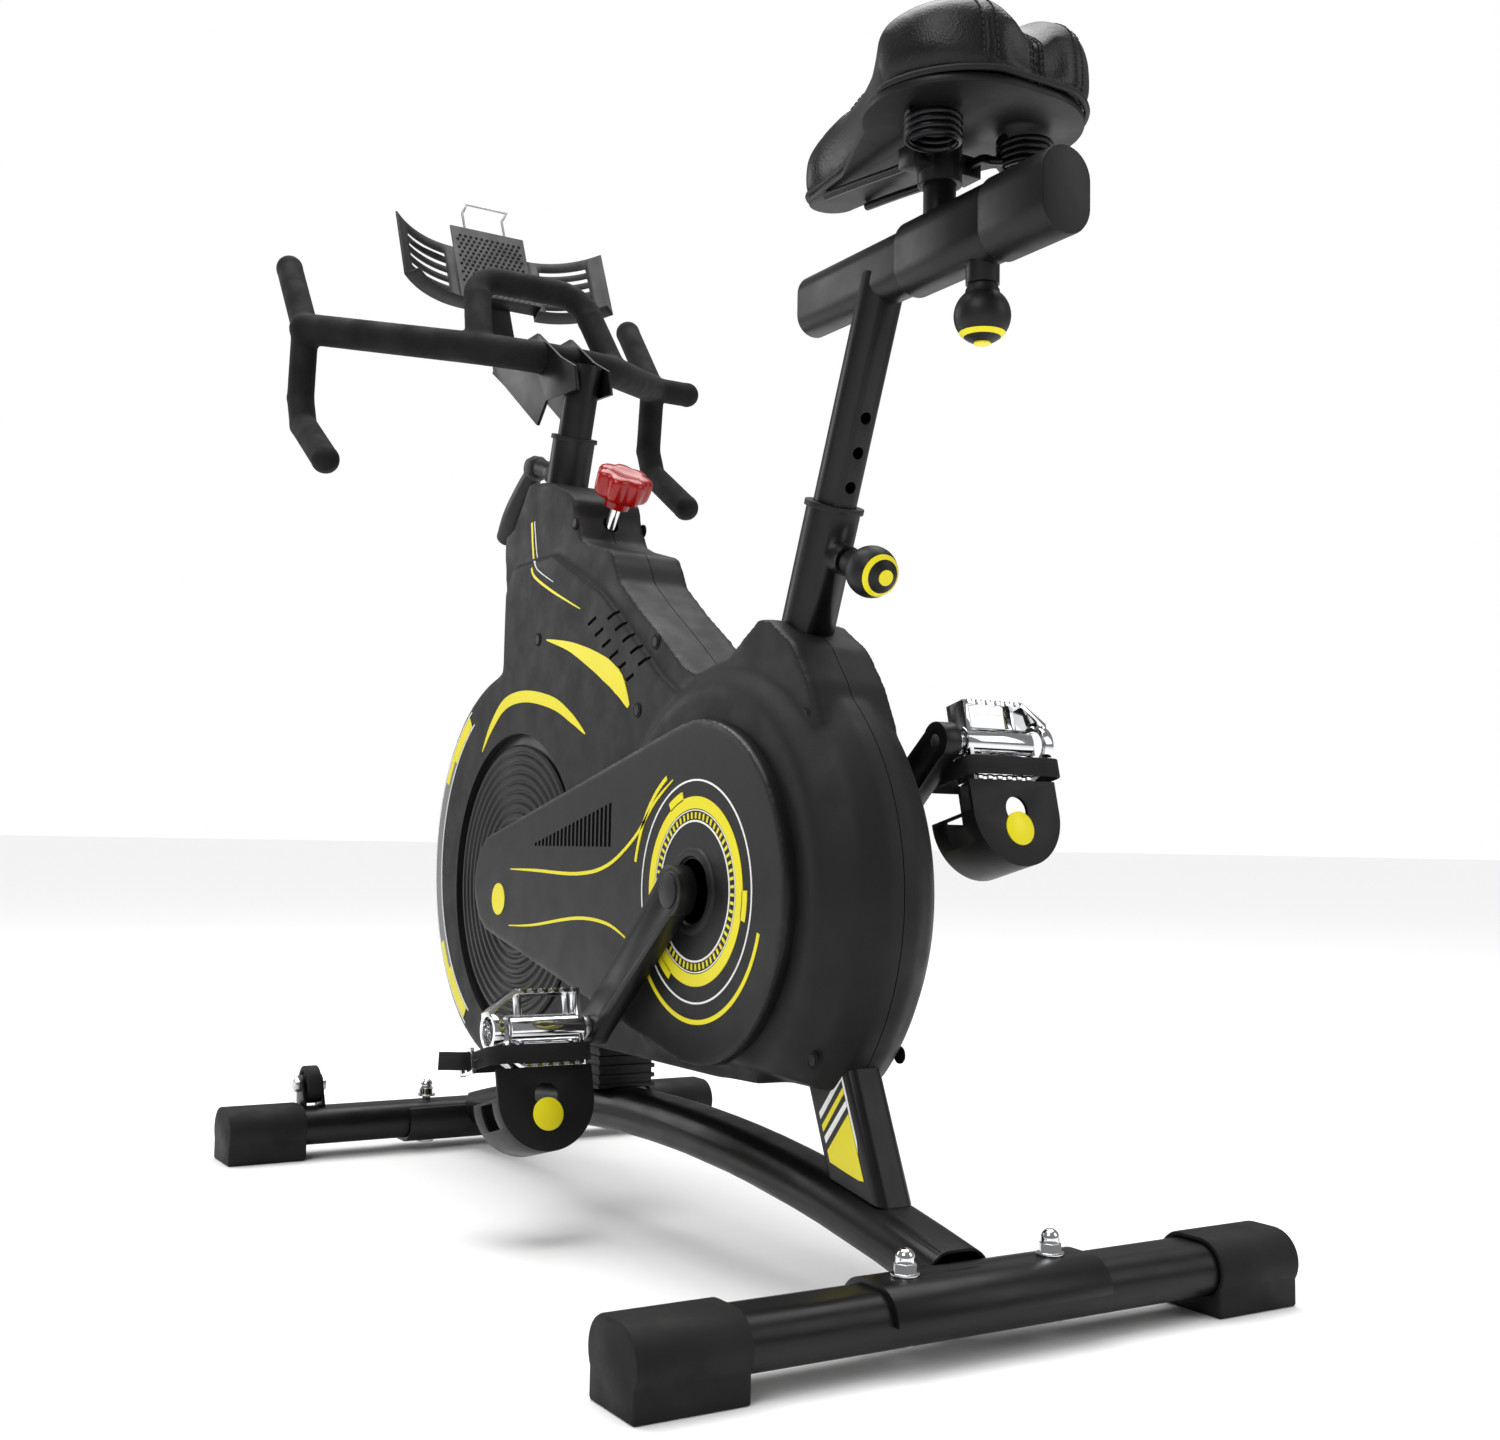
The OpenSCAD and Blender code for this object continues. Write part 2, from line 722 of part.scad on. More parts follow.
module bushing(l) {
    ring(outer_tube_r - tube_wall, post_r + post_clearance, l);
    translate([0, 0, l]) ring(outer_tube_r + 2, post_r + post_clearance, 4);
}

module bushings() color("#101010") placed() {
    difference() {
        seat_axis_z(seat_rim_z) translate([0, 0, -70]) bushing(70);
        seat_axis_z(seat_pin_z) rotate([-90, 0, 0]) cylinder(r = pin_r + pin_gap, h = 60);
    }
    difference() {
        head_axis_z(head_rim_z) translate([0, 0, -70]) bushing(70);
        head_axis_z(lever_z) rotate([90, 0, 0]) cylinder(r = pin_r + pin_gap, h = 60);
    }
}

// ---------------------------------------------------------------- transport wheels

module wheel_plate() side_prism(0, bracket_t) {
    translate([wheel_y, wheel_z]) circle(r = 10);
    polygon([
        [wheel_y - 9.9, wheel_z], [front_y - 18, bar_z + bar_h / 2 - 6],
        [front_y + 10, bar_z + bar_h / 2 - 6], [wheel_y + 9.9, wheel_z]
    ]);
}

module wheel_brackets() color("#1b1b1c") placed() both() difference() {
    for (s = [-1, 1])
        translate([wheel_x + s * (wheel_w / 2 + wheel_gap + bracket_t / 2) - bracket_t / 2, 0, 0])
            wheel_plate();
    translate([0, front_y, 0]) cross_bar(bar_w, bar_h, 0, 300);
    x_rod(wheel_y, wheel_z, wheel_axle_r, 0, 300);
}

module wheel_bolts() color("#c8c8c8") placed() both() {
    x_rod(wheel_y, wheel_z, wheel_axle_r, wheel_x - 14, wheel_x + 16);
    translate([wheel_x - wheel_w / 2 - wheel_gap - bracket_t - 4, wheel_y, wheel_z]) rotate([0, 90, 0])
        cylinder(r = 7, h = 4, $fn = 6);
    translate([wheel_x + wheel_w / 2 + wheel_gap + bracket_t, wheel_y, wheel_z]) rotate([0, 90, 0])
        difference() {
            cylinder(r = 7, h = 5, $fn = 6);
            translate([0, 0, -1]) cylinder(r = wheel_axle_r, h = 9);
        }
}

module wheel(x) difference() {
    x_rod(wheel_y, wheel_z, wheel_r, x - wheel_w / 2, x + wheel_w / 2);
    x_rod(wheel_y, wheel_z, wheel_axle_r + running, x - wheel_w, x + wheel_w);
    for (s = [-1, 1])
        translate([x + s * wheel_w / 2, 0, 0])
            x_rod_tube(wheel_y, wheel_z, wheel_r - 5, wheel_axle_r + 4, -2, 2);
}

module wheel_left() color("#141414") placed() wheel(wheel_x);
module wheel_right() color("#141414") placed() wheel(-wheel_x);

// ---------------------------------------------------------------- drive

module bearings() color("#9a9a9c") placed() both() {
    x_rod_tube(crank_y, crank_height, bearing_r, axle_r + running, bracket_half - bearing_w, bracket_half);
    x_rod_tube(fly_y, fly_height, fly_bearing_r, fly_axle_r + running, fork_x, fork_x + fly_bearing_w);
}

module flywheel_axle() color("#b0b0b2") placed()
    x_rod(fly_y, fly_height, fly_axle_r, -fork_x - fly_bearing_w - 2, axle_end);

module flywheel() color("#3a3a3c") placed() difference() {
    union() {
        x_rod_tube(fly_y, fly_height, fly_r, fly_r - 30, -fly_w / 2, fly_w / 2);
        x_rod(fly_y, fly_height, fly_r - 29, -5, 5);
        x_rod(fly_y, fly_height, hub_r, -hub_half, hub_half);
    }
    x_rod(fly_y, fly_height, fly_axle_r, -60, 60);
    for (i = [0:5])
        translate([0, fly_y, fly_height]) rotate([i * 60, 0, 0])
            translate([0, 56, 0]) x_rod(0, 0, 14, -10, 10);
}

module flywheel_pulley() color("#2a2a2b") placed() difference() {
    union() {
        x_rod(fly_y, fly_height, small_pulley_r, belt_x, belt_x + pulley_w);
        x_rod(fly_y, fly_height, small_pulley_r + belt_t, belt_x, belt_x + 1);
        x_rod(fly_y, fly_height, small_pulley_r + belt_t, belt_x + pulley_w - 1, belt_x + pulley_w);
    }
    x_rod(fly_y, fly_height, fly_axle_r, 0, 90);
}

// Outline of the belt loop at a distance g outside the two pulleys
module belt_outline(g) {
    translate([fly_y, fly_height]) circle(r = small_pulley_r + g);
    translate([crank_y, crank_height]) circle(r = big_pulley_r + g);
    a = asin((big_pulley_r - small_pulley_r) / belt_run);
    n0 = [cos(belt_slope + 90 + a), sin(belt_slope + 90 + a)];
    n1 = [cos(belt_slope - 90 - a), sin(belt_slope - 90 - a)];
    b = g - tangent;
    polygon([
        [fly_y, fly_height] + (small_pulley_r + b) * n0, [crank_y, crank_height] + (big_pulley_r + b) * n0,
        [crank_y, crank_height] + (big_pulley_r + b) * n1, [fly_y, fly_height] + (small_pulley_r + b) * n1
    ]);
}

module drive_belt() color("#0e0e0e") placed()
    difference() {
        side_prism(belt_x + (pulley_w - belt_w) / 2, belt_x + (pulley_w + belt_w) / 2)
            belt_outline(belt_gap + belt_t);
        side_prism(belt_x - 1, belt_x + pulley_w + 1) belt_outline(belt_gap);
    }

module crank_axle() color("#8c8c8e") placed()
    x_rod(crank_y, crank_height, axle_r, -crank_offset - crank_t + 2, crank_offset + crank_t - 2);

module crank_pulley() color("#2a2a2b") placed() difference() {
    union() {
        x_rod_tube(crank_y, crank_height, big_pulley_r, big_pulley_r - 12, belt_x, belt_x + pulley_w);
        x_rod(crank_y, crank_height, big_pulley_r - 11, belt_x + 4, belt_x + 8);
        x_rod(crank_y, crank_height, 18, bracket_half + 1, belt_x + pulley_w);
    }
    x_rod(crank_y, crank_height, axle_r, 0, 90);
    for (i = [0:4])
        translate([0, crank_y, crank_height]) rotate([i * 72, 0, 0])
            translate([0, 48, 0]) x_rod(0, 0, 15, 0, 90);
}

// A crank arm along local -Y, from its boss to its pedal eye
module crank_arm() difference() {
    union() {
        translate([crank_offset, 0, 0]) rotate([0, 90, 0]) cylinder(r = 19, h = crank_t);
        translate([crank_offset, -crank_length, 0]) rotate([0, 90, 0]) cylinder(r = 14, h = crank_t);
        translate([crank_offset, 0, 0]) rotate([90, 0, 90]) linear_extrude(crank_t)
            polygon([[0, 17], [-crank_length, 13], [-crank_length, -13], [0, -17]]);
    }
    translate([crank_offset - 1, 0, 0]) rotate([0, 90, 0]) cylinder(r = axle_r, h = crank_t - 1);
    translate([crank_offset + crank_t - 2, 0, 0]) rotate([0, 90, 0]) cylinder(r = 13, h = 3);
    translate([crank_offset - 1, -crank_length, 0]) rotate([0, 90, 0])
        cylinder(r = spindle_r, h = crank_t + 2);
}

module at_crank(s) placed() translate([0, crank_y, crank_height])
    mirror([s < 0 ? 1 : 0, 0, 0]) rotate([s > 0 ? crank_angle : 180 + crank_angle, 0, 0]) children();

module cranks() color("#151516") for (s = [-1, 1]) at_crank(s) crank_arm();

module crank_caps() color("#0f0f10") for (s = [-1, 1]) at_crank(s)
    translate([crank_offset + crank_t - 2, 0, 0]) rotate([0, 90, 0]) cylinder(r = 13, h = 3);

module pedal_spindles() color("#b4b4b6") for (s = [-1, 1]) at_crank(s) translate([0, -crank_length, 0]) {
    x_rod(0, 0, spindle_r, crank_offset, cage_x0 + 60);
    x_rod(0, 0, 9, pedal_x, pedal_x + 5);
}

// ---------------------------------------------------------------- pedals

// A pedal's own frame: spindle along X, toe towards -Y, foot side +Z
module at_pedal(s) placed() translate([0, crank_y - s * pedal_dy, crank_height - s * pedal_dz])
    mirror([s < 0 ? 1 : 0, 0, 0]) rotate([pedal_hang, 0, 0]) children();

module cage_outline(g) polygon([
    [cage_x0 + g, -cage_w / 2 + g], [cage_x0 + cage_l - 20 - g * 0.4, -cage_w / 2 + g],
    [cage_x0 + cage_l - g, -15 + g * 0.4], [cage_x0 + cage_l - g, 15 - g * 0.4],
    [cage_x0 + cage_l - 20 - g * 0.4, cage_w / 2 - g], [cage_x0 + g, cage_w / 2 - g]
]);

module pedal_body() difference() {
    union() {
        x_rod(0, 0, barrel_r, pedal_x + 8, cage_x0 + 60);
        x_rod(0, 0, 15, cage_x0 + cage_l - 8, cage_x0 + cage_l);
        translate([0, 0, -cage_h / 2]) linear_extrude(cage_h) difference() {
            cage_outline(0);
            cage_outline(plate_t);
        }
        for (x = [cage_x0 + 6, cage_x0 + 48])
            translate([x, -cage_w / 2 + 1, -4]) cube([plate_t, cage_w - 2, 8]);
        translate([cage_x0 + 58, -8, -3]) cube([cage_l - 62, 16, 6]);
        for (i = [0:5], s = [-1, 1], z = [-1, 1])
            translate([cage_x0 + 5 + i * 9, s * (cage_w / 2 - plate_t / 2), z * cage_h / 2])
                cube([4.5, plate_t, 3], center = true);
    }
    x_rod(0, 0, spindle_r + running, 0, cage_x0 + 61);
    x_rod(0, 0, 11, cage_x0 + cage_l - 9, cage_x0 + cage_l + 1);
    for (x = bolt_spots) translate([x, -cage_w / 2 + 10, 0]) rotate([90, 0, 0]) cylinder(r = 2.5, h = 30);
}

module clip_profile(w, l) {
    translate([-w / 2, -l + w / 2]) square([w, l - w / 2]);
    translate([0, -l + w / 2]) circle(r = w / 2);
}

// Toe cage: sole plate, curved toe wall with side windows, and a tongue back over the foot
module toe_clip() translate([clip_mid, -cage_w / 2, 0]) difference() {
    union() {
        difference() {
            translate([0, 0, -cage_h / 2]) linear_extrude(clip_h) clip_profile(clip_w, clip_l);
            translate([0, 0, -cage_h / 2 + clip_t]) linear_extrude(clip_h - 2 * clip_t)
                clip_profile(clip_w - 2 * clip_t, clip_l - clip_t);
            translate([-clip_w, -22, -cage_h / 2 + clip_t]) cube([2 * clip_w, 40, clip_h]);
            translate([0, -22, -cage_h / 2 - 1]) linear_extrude(clip_t + 2) circle(r = 10);
            for (s = [-1, 1])
                translate([s * clip_w / 2, -34, 14]) cube([30, 20, 22], center = true);
        }
        translate([-11, -24, clip_h - cage_h / 2 - clip_t]) cube([22, 34, clip_t]);
        translate([-26, -clip_t, -cage_h / 2]) cube([52, clip_t, cage_h - 3]);
    }
    for (x = bolt_spots) translate([x - clip_mid, 5, 0]) rotate([90, 0, 0]) cylinder(r = 2.5, h = 30);
    translate([-clip_w, 0, -cage_h]) cube([2 * clip_w, cage_w, 2 * cage_h - 4]);
}

module strap_outline(g) translate([cage_x0 - 4 - g, -cage_h / 2 - 3 - g])
    square([cage_l + 8 + 2 * g, clip_h + 4.5 + 2 * g]);

// Woven strap round the pedal and over the toe cage, with its loose tail
module strap(tail_z) {
    translate([0, -cage_w / 2 + 3 + strap_w, 0]) rotate([90, 0, 0]) linear_extrude(strap_w) difference() {
        strap_outline(strap_t);
        strap_outline(0);
    }
    translate([cage_x0 + cage_l + 4 + strap_t - hair, -cage_w / 2 + 3, tail_z]) cube([30, strap_w, strap_t]);
}

// Buckle on the strap's outer side and the two toe-clip bolts
module pedal_hardware() {
    translate([cage_x0 + cage_l + 4 + strap_t, -cage_w / 2, 14]) difference() {
        cube([3, strap_w + 6, 24]);
        for (z = [3, 14]) translate([-1, 2.5, z]) cube([5, strap_w + 1, 7]);
    }
    for (x = bolt_spots) translate([x, -cage_w / 2 - clip_t, 0]) rotate([90, 0, 0]) {
        cylinder(r = 4.5, h = 3);
        translate([0, 0, -clip_t - plate_t - 2]) cylinder(r = 2.5, h = clip_t + plate_t + 2);
    }
}

module pedal_left() color("#c4c4c6") at_pedal(1) pedal_body();
module pedal_right() color("#c4c4c6") at_pedal(-1) pedal_body();
module toe_clip_left() color("#171718") at_pedal(1) toe_clip();
module toe_clip_right() color("#171718") at_pedal(-1) toe_clip();
module strap_left() color("#121213") at_pedal(1) strap(18);
module strap_right() color("#121213") at_pedal(-1) strap(30);
module pedal_hardware_left() color("#c8c8ca") at_pedal(1) pedal_hardware();
module pedal_hardware_right() color("#c8c8ca") at_pedal(-1) pedal_hardware();

// ---------------------------------------------------------------- brake

module at_rod() leaning(rod_top[0], rod_top[1], rod_lean) children();

module tension_rod() color("#b8b8ba") placed() at_rod()
    translate([0, 0, -rod_in]) cylinder(r = rod_r, h = rod_in + rod_out);

module tension_knob() color("#c41e1a") placed() at_rod() translate([0, 0, rod_out - 18]) difference() {
    union() {
        cylinder(r = 12, h = 12);
        translate([0, 0, 10]) cylinder(r = knob_r - 3, h = knob_h);
        for (i = [0:7]) rotate(i * 45) translate([knob_r - 5, 0, 10]) cylinder(r = 5, h = knob_h);
    }
    translate([0, 0, -1]) cylinder(r = rod_r + running, h = 20);
}

// Friction shoe at the foot of the rod, just above the flywheel rim
module brake_shoe() color("#6b6258") placed() difference() {
    at_rod() translate([-11, -20, -rod_in - 30]) cube([22, 40, 38]);
    x_rod(fly_y, fly_height, fly_r + shoe_gap, -60, 60);
    at_rod() translate([0, 0, -rod_in]) cylinder(r = rod_r, h = 60);
}

// ---------------------------------------------------------------- seat

module slide_bar(w, h, y0, y1)
    translate([0, y1, slide_z]) rotate([90, 0, 0]) linear_extrude(y1 - y0) tall_oval(w, h);

module seat_post() color("#202021") placed() difference() {
    seat_axis_z(post_bottom_z) difference() {
        cylinder(r = post_r, h = (slide_z - post_bottom_z) / cos(seat_lean));
        translate([0, 0, -1])
            cylinder(r = post_r - tube_wall, h = (slide_z - post_bottom_z) / cos(seat_lean) + 2);
    }
    slide_bar(slide_w, slide_h, slide_front - 10, slide_back + 10);
    translate([-40, -300, slide_z]) cube([80, 400, 60]);
    for (i = [-3:4])
        seat_axis_z(seat_pin_z) translate([0, 0, i * hole_pitch])
            rotate([-90, 0, 0]) cylinder(r = pin_r + pin_gap, h = 40);
}

module slide_tube() color("#202021") placed() {
    difference() {
        slide_bar(slide_w, slide_h, slide_front, slide_back);
        slide_bar(
            slide_w - 2 * tube_wall, slide_h - 2 * tube_wall, slide_front + tube_wall, slide_back - tube_wall
        );
    }
}

module seat_sleeve() color("#1b1b1c") placed() difference() {
    union() {
        slide_bar(sleeve_w, sleeve_h, sleeve_y0, sleeve_y1);
        translate([0, knob_y, slide_z - sleeve_h / 2 - 11]) cylinder(r = 11, h = 14);
        translate([0, stub_y, slide_z + sleeve_h / 2 - 4])
            cylinder(r = stub_r, h = clamp_z + 14 - slide_z - sleeve_h / 2);
    }
    slide_bar(slide_w + 2 * slide_play, slide_h + 2 * slide_play, sleeve_y0 - 1, sleeve_y1 + 1);
    translate([0, knob_y, slide_z - sleeve_h]) cylinder(r = pin_r + pin_gap, h = sleeve_h);
}

module sleeve_cap() color("#121213") placed() difference() {
    slide_bar(sleeve_w + 3, sleeve_h + 3, sleeve_y1, sleeve_y1 + cap_l);
    slide_bar(slide_w + 2, slide_h + 2, sleeve_y1 - 1, sleeve_y1 + cap_l - 4);
}

module saddle_clamp() color("#2a2a2b") placed() translate([0, stub_y, clamp_z]) difference() {
    union() {
        translate([0, 0, -14]) cylinder(r = stub_r + 4, h = 26);
        translate([-28, -9, -6]) cube([56, 18, 14]);
    }
    translate([0, 0, -20]) cylinder(r = stub_r, h = 40);
    for (s = [-1, 1]) translate([s * rail_x, 30, 1]) rotate([90, 0, 0]) cylinder(r = wire_r, h = 60);
}

// One close-wound coil spring
module coil(h) rotate_extrude() for (i = [0:4])
    translate([spring_r - wire_r, wire_r + i * (h - 2 * wire_r) / 4]) circle(r = wire_r);

module saddle_rail() difference() {
    union() {
        rod(rail_nose, rail_front, wire_r);
        rod(rail_front, rail_back, wire_r);
        rod(rail_back, rail_tail, wire_r);
        for (p = [rail_front, rail_back]) translate(p) sphere(r = wire_r + 0.3);
    }
    translate([spring_x, spring_y, spring_z]) cylinder(r = spring_r, h = 40);
}

// Rails from the nose through the clamp to the foot of the springs, and the springs
module saddle_wires() color("#8a8a8c") placed() both() {
    saddle_rail();
    translate([spring_x, spring_y, spring_z]) coil(saddle_z - pan_t - spring_z);
}

module saddle_outline(g) {
    for (s = [-1, 1]) translate([s * (saddle_w / 2 - lobe_r), lobe_y]) circle(r = lobe_r - g);
    translate([-saddle_w / 2 + lobe_r, lobe_y - lobe_r + g])
        square([saddle_w - 2 * lobe_r, 2 * (lobe_r - g)]);
    translate([0, saddle_front + nose_r]) circle(r = nose_r - g);
    polygon([
        [-saddle_w / 2 + g + 1, lobe_y], [-nose_r + g - 6, saddle_front + 70],
        [-nose_r + g, saddle_front + nose_r], [nose_r - g, saddle_front + nose_r],
        [nose_r - g + 6, saddle_front + 70], [saddle_w / 2 - g - 1, lobe_y]
    ]);
}

module saddle_pan() color("#151516") placed()
    translate([0, 0, saddle_z - pan_t]) linear_extrude(pan_t - 0.5) saddle_outline(6);

module saddle_pad() color("#1f1f20") placed() {
    translate([0, 0, saddle_z]) linear_extrude(saddle_h * 0.6) saddle_outline(0);
    translate([0, 0, saddle_z + saddle_h * 0.6]) linear_extrude(saddle_h * 0.25) saddle_outline(6);
    translate([0, 0, saddle_z + saddle_h * 0.85]) linear_extrude(saddle_h * 0.15) saddle_outline(14);
}

// A pull knob along local +Z from the middle of its tube
module pull_knob(tip, boss_end, ball_at) {
    translate([0, 0, tip]) cylinder(r = pin_r, h = ball_at - tip);
    translate([0, 0, boss_end + pin_travel]) cylinder(r = neck_r, h = ball_at - boss_end - pin_travel);
    translate([0, 0, ball_at]) sphere(r = ball_r);
}

module seat_knob() color("#101011") placed() seat_axis_z(seat_pin_z) rotate([-90, 0, 0])
    pull_knob(post_r + pin_gap, outer_tube_r + 13, 64);

module slide_knob() color("#101011") placed() translate([0, knob_y, slide_z]) rotate([180, 0, 0])
    pull_knob(slide_h / 2 + pin_gap, sleeve_h / 2 + 11, 58);

// ---------------------------------------------------------------- handlebar

module bar_lever() color("#101011") placed() {
    head_axis_z(lever_z) rotate([90, 0, 0]) {
        translate([0, 0, post_r + pin_gap]) cylinder(r = pin_r, h = lever_out - post_r);
        translate([0, 0, outer_tube_r + 16 + pin_travel])
            cylinder(r = 9, h = lever_out - outer_tube_r - 16 - pin_travel);
        translate([0, 0, lever_out]) sphere(r = 13);
    }
    rod([0, lever_end[0] + 70, lever_end[1] + 54], [0, lever_end[0], lever_end[1]], 9);
    translate([0, lever_end[0], lever_end[1]]) sphere(r = 10);
}

module bar_post() color("#1b1b1c") placed() {
    difference() {
        head_axis_z(bar_post_z) difference() {
            cylinder(r = post_r, h = (plate_top_z - bar_post_z) / cos(bar_lean));
            translate([0, 0, -1])
                cylinder(r = post_r - tube_wall, h = (plate_top_z - bar_post_z) / cos(bar_lean) - 6);
        }
        for (i = [-1:5])
            head_axis_z(lever_z) translate([0, 0, -i * 20])
                rotate([90, 0, 0]) cylinder(r = pin_r + pin_gap, h = 40);
        bar_path(grip_r, horn_r);
    }
    difference() {
        both() side_prism(post_r, post_r + 3) polygon([
            [-572, 724], [-578, 748], [-610, 764], [-664, 800], [-764, 800],
            [-776, 786], [-744, 766], [-660, 708], [-640, 728]
        ]);
        bar_path(grip_r, horn_r);
    }
    x_rod(-700, 766, 5, -post_r - 3, post_r + 3);
    x_rod(bar_pin_y, 792, 5, -post_r - 3, post_r + 3);
    x_rod(-612, 744, 4, -post_r - 3, post_r + 3);
}

// Bar plane: x across, local y forward and up at the bar's tilt
module bar_plane() translate(bar_mid) rotate([180 - bar_tilt, 0, 0]) children();

module bar_path(r_main, r_end) {
    bar_plane() translate([0, bar_bend_r, 0]) {
        rotate(-90 - bar_half_angle) rotate_extrude(angle = 2 * bar_half_angle)
            translate([bar_bend_r, 0]) circle(r = r_main);
        both() rotate(bar_half_angle) translate([0, -bar_bend_r, 0])
            rotate([0, 90, 0]) cylinder(r = r_main, h = arm_l);
    }
    both() {
        for (p = [
            [[horn_y, horn_z], horn_tip], [[horn_y, horn_z], drop_knee],
            [drop_knee, drop_elbow], [drop_elbow, drop_end]
        ])
            rod([horn_half, p[0][0], p[0][1]], [horn_half, p[1][0], p[1][1]], r_end);
        translate([horn_half, horn_y, horn_z]) sphere(r = r_main + joint);
        for (p = [drop_knee, drop_elbow, drop_end, horn_tip])
            translate([horn_half, p[0], p[1]]) sphere(r = r_end + joint);
        loop_half(r_end);
    }
    rod([-horn_half, horn_y, horn_z], [-horn_half - stub_length, horn_y, horn_z], r_end);
    translate([-horn_half - stub_length, horn_y, horn_z]) sphere(r = r_end + joint);
}

// Upright loop in front of the bar, in a plane that leans forward
module loop_half(r) translate([0, loop_foot[0], loop_foot[1]]) rotate([90 + loop_lean, 0, 0]) {
    rod([loop_x + 11, 0, 0], [loop_x, loop_leg, 0], r);
    translate([loop_x - loop_bend, loop_leg, 0])
        rotate_extrude(angle = 90) translate([loop_bend, 0]) circle(r = r);
    rod([0, loop_leg + loop_bend, 0], [loop_x - loop_bend, loop_leg + loop_bend, 0], r);
    translate([loop_x, loop_leg, 0]) sphere(r = r + joint);
}

module handlebar() color("#2a2a2b") placed() bar_path(grip_r - foam_t, horn_r - foam_t);

module bar_grips() color("#151515") placed() difference() {
    bar_path(grip_r, horn_r);
    bar_path(grip_r - foam_t, horn_r - foam_t);
}

// The tablet holder's plane: x across, y up the panel, z towards the rider
module holder_plane() translate([0, holder_foot[0], holder_foot[1]])
    rotate([90 + holder_lean, 0, 0]) mirror([0, 0, 1]) children();

// Curved side wing with a bottom lip and five long slots
module wing() difference() {
    translate([panel_w / 2 - 3, 0, wing_r - 0.4]) rotate([-90, 0, 0]) rotate([0, 0, 90 - wing_angle])
        rotate_extrude(angle = wing_angle) {
            translate([wing_r, wing_v0]) square([holder_t, wing_v1 - wing_v0]);
            translate([wing_r - lip_l, wing_v0]) square([lip_l + 1, holder_t]);
        }
    for (i = [0:4])
        translate([panel_w / 2 + 12, wing_v0 + 12 + i * 13, -10]) cube([48, 6, 70]);
}

module tablet_holder() color("#141415") placed() difference() {
    holder_plane() {
        translate([-panel_w / 2, 0, -holder_t]) cube([panel_w, panel_l, holder_t]);
        translate([-panel_w / 2, 0, -holder_t]) cube([panel_w, holder_t, lip_l]);
        both() wing();
        translate([-12, -86, -holder_t - 4]) cube([24, 116, 4 + hair]);
        for (s = [-1, 1])
            translate([s * clip_half - 5, panel_l - 26, -holder_t - 8]) cube([10, 12, 8 + hair]);
    }
    x_rod(bar_pin_y, 792, 5, -post_r, post_r);
    holder_plane() for (s = [-1, 1])
        translate([0, 0, -holder_t - 4])
            rod([s * clip_half, panel_l - 40, 0], [s * clip_half, panel_l, 0], clip_r + 0.35);
}

// Sprung wire hook that grips a tablet from above
module phone_clip() color("#a8a8aa") placed() holder_plane() translate([0, 0, -holder_t - 4]) {
    for (s = [-1, 1]) {
        rod([s * clip_half, panel_l - 30, 0], [s * clip_half, panel_l + clip_up, 0], clip_r);
        translate([s * clip_half, panel_l + clip_up, 0]) sphere(r = clip_r);
        rod([s * clip_half, panel_l + clip_up, 0], [s * clip_half, panel_l + clip_up, 14], clip_r);
        translate([s * clip_half, panel_l + clip_up, 14]) sphere(r = clip_r);
    }
    rod([-clip_half, panel_l + clip_up, 14], [clip_half, panel_l + clip_up, 14], clip_r);
}

// ---------------------------------------------------------------- parts

arch_beam();
rear_leg();
seat_tube();
head_tube();
bottom_bracket();
flywheel_fork();
mid_upright();
upright_cover();
stabilisers();
front_sleeve();
feet();
stabiliser_bolts();
left_shell();
right_shell();
side_covers();
flywheel_covers();
shell_screws();
bushings();
wheel_brackets();
wheel_bolts();
wheel_left();
wheel_right();
bearings();
flywheel_axle();
flywheel();
flywheel_pulley();
drive_belt();
crank_axle();
crank_pulley();
cranks();
crank_caps();
pedal_spindles();
pedal_left();
toe_clip_left();
strap_left();
pedal_hardware_left();
pedal_right();
toe_clip_right();
strap_right();
pedal_hardware_right();
brake_shoe();
tension_rod();
tension_knob();
seat_post();
slide_tube();
seat_sleeve();
sleeve_cap();
saddle_clamp();
saddle_wires();
saddle_pan();
saddle_pad();
seat_knob();
slide_knob();
bar_post();
handlebar();
bar_grips();
tablet_holder();
phone_clip();
bar_lever();
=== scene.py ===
"""Indoor cycling bike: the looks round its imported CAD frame."""
import json
import math

import bmesh
import bpy
from mathutils import Matrix, Vector
from mathutils.bvhtree import BVHTree
from mathutils.kdtree import KDTree


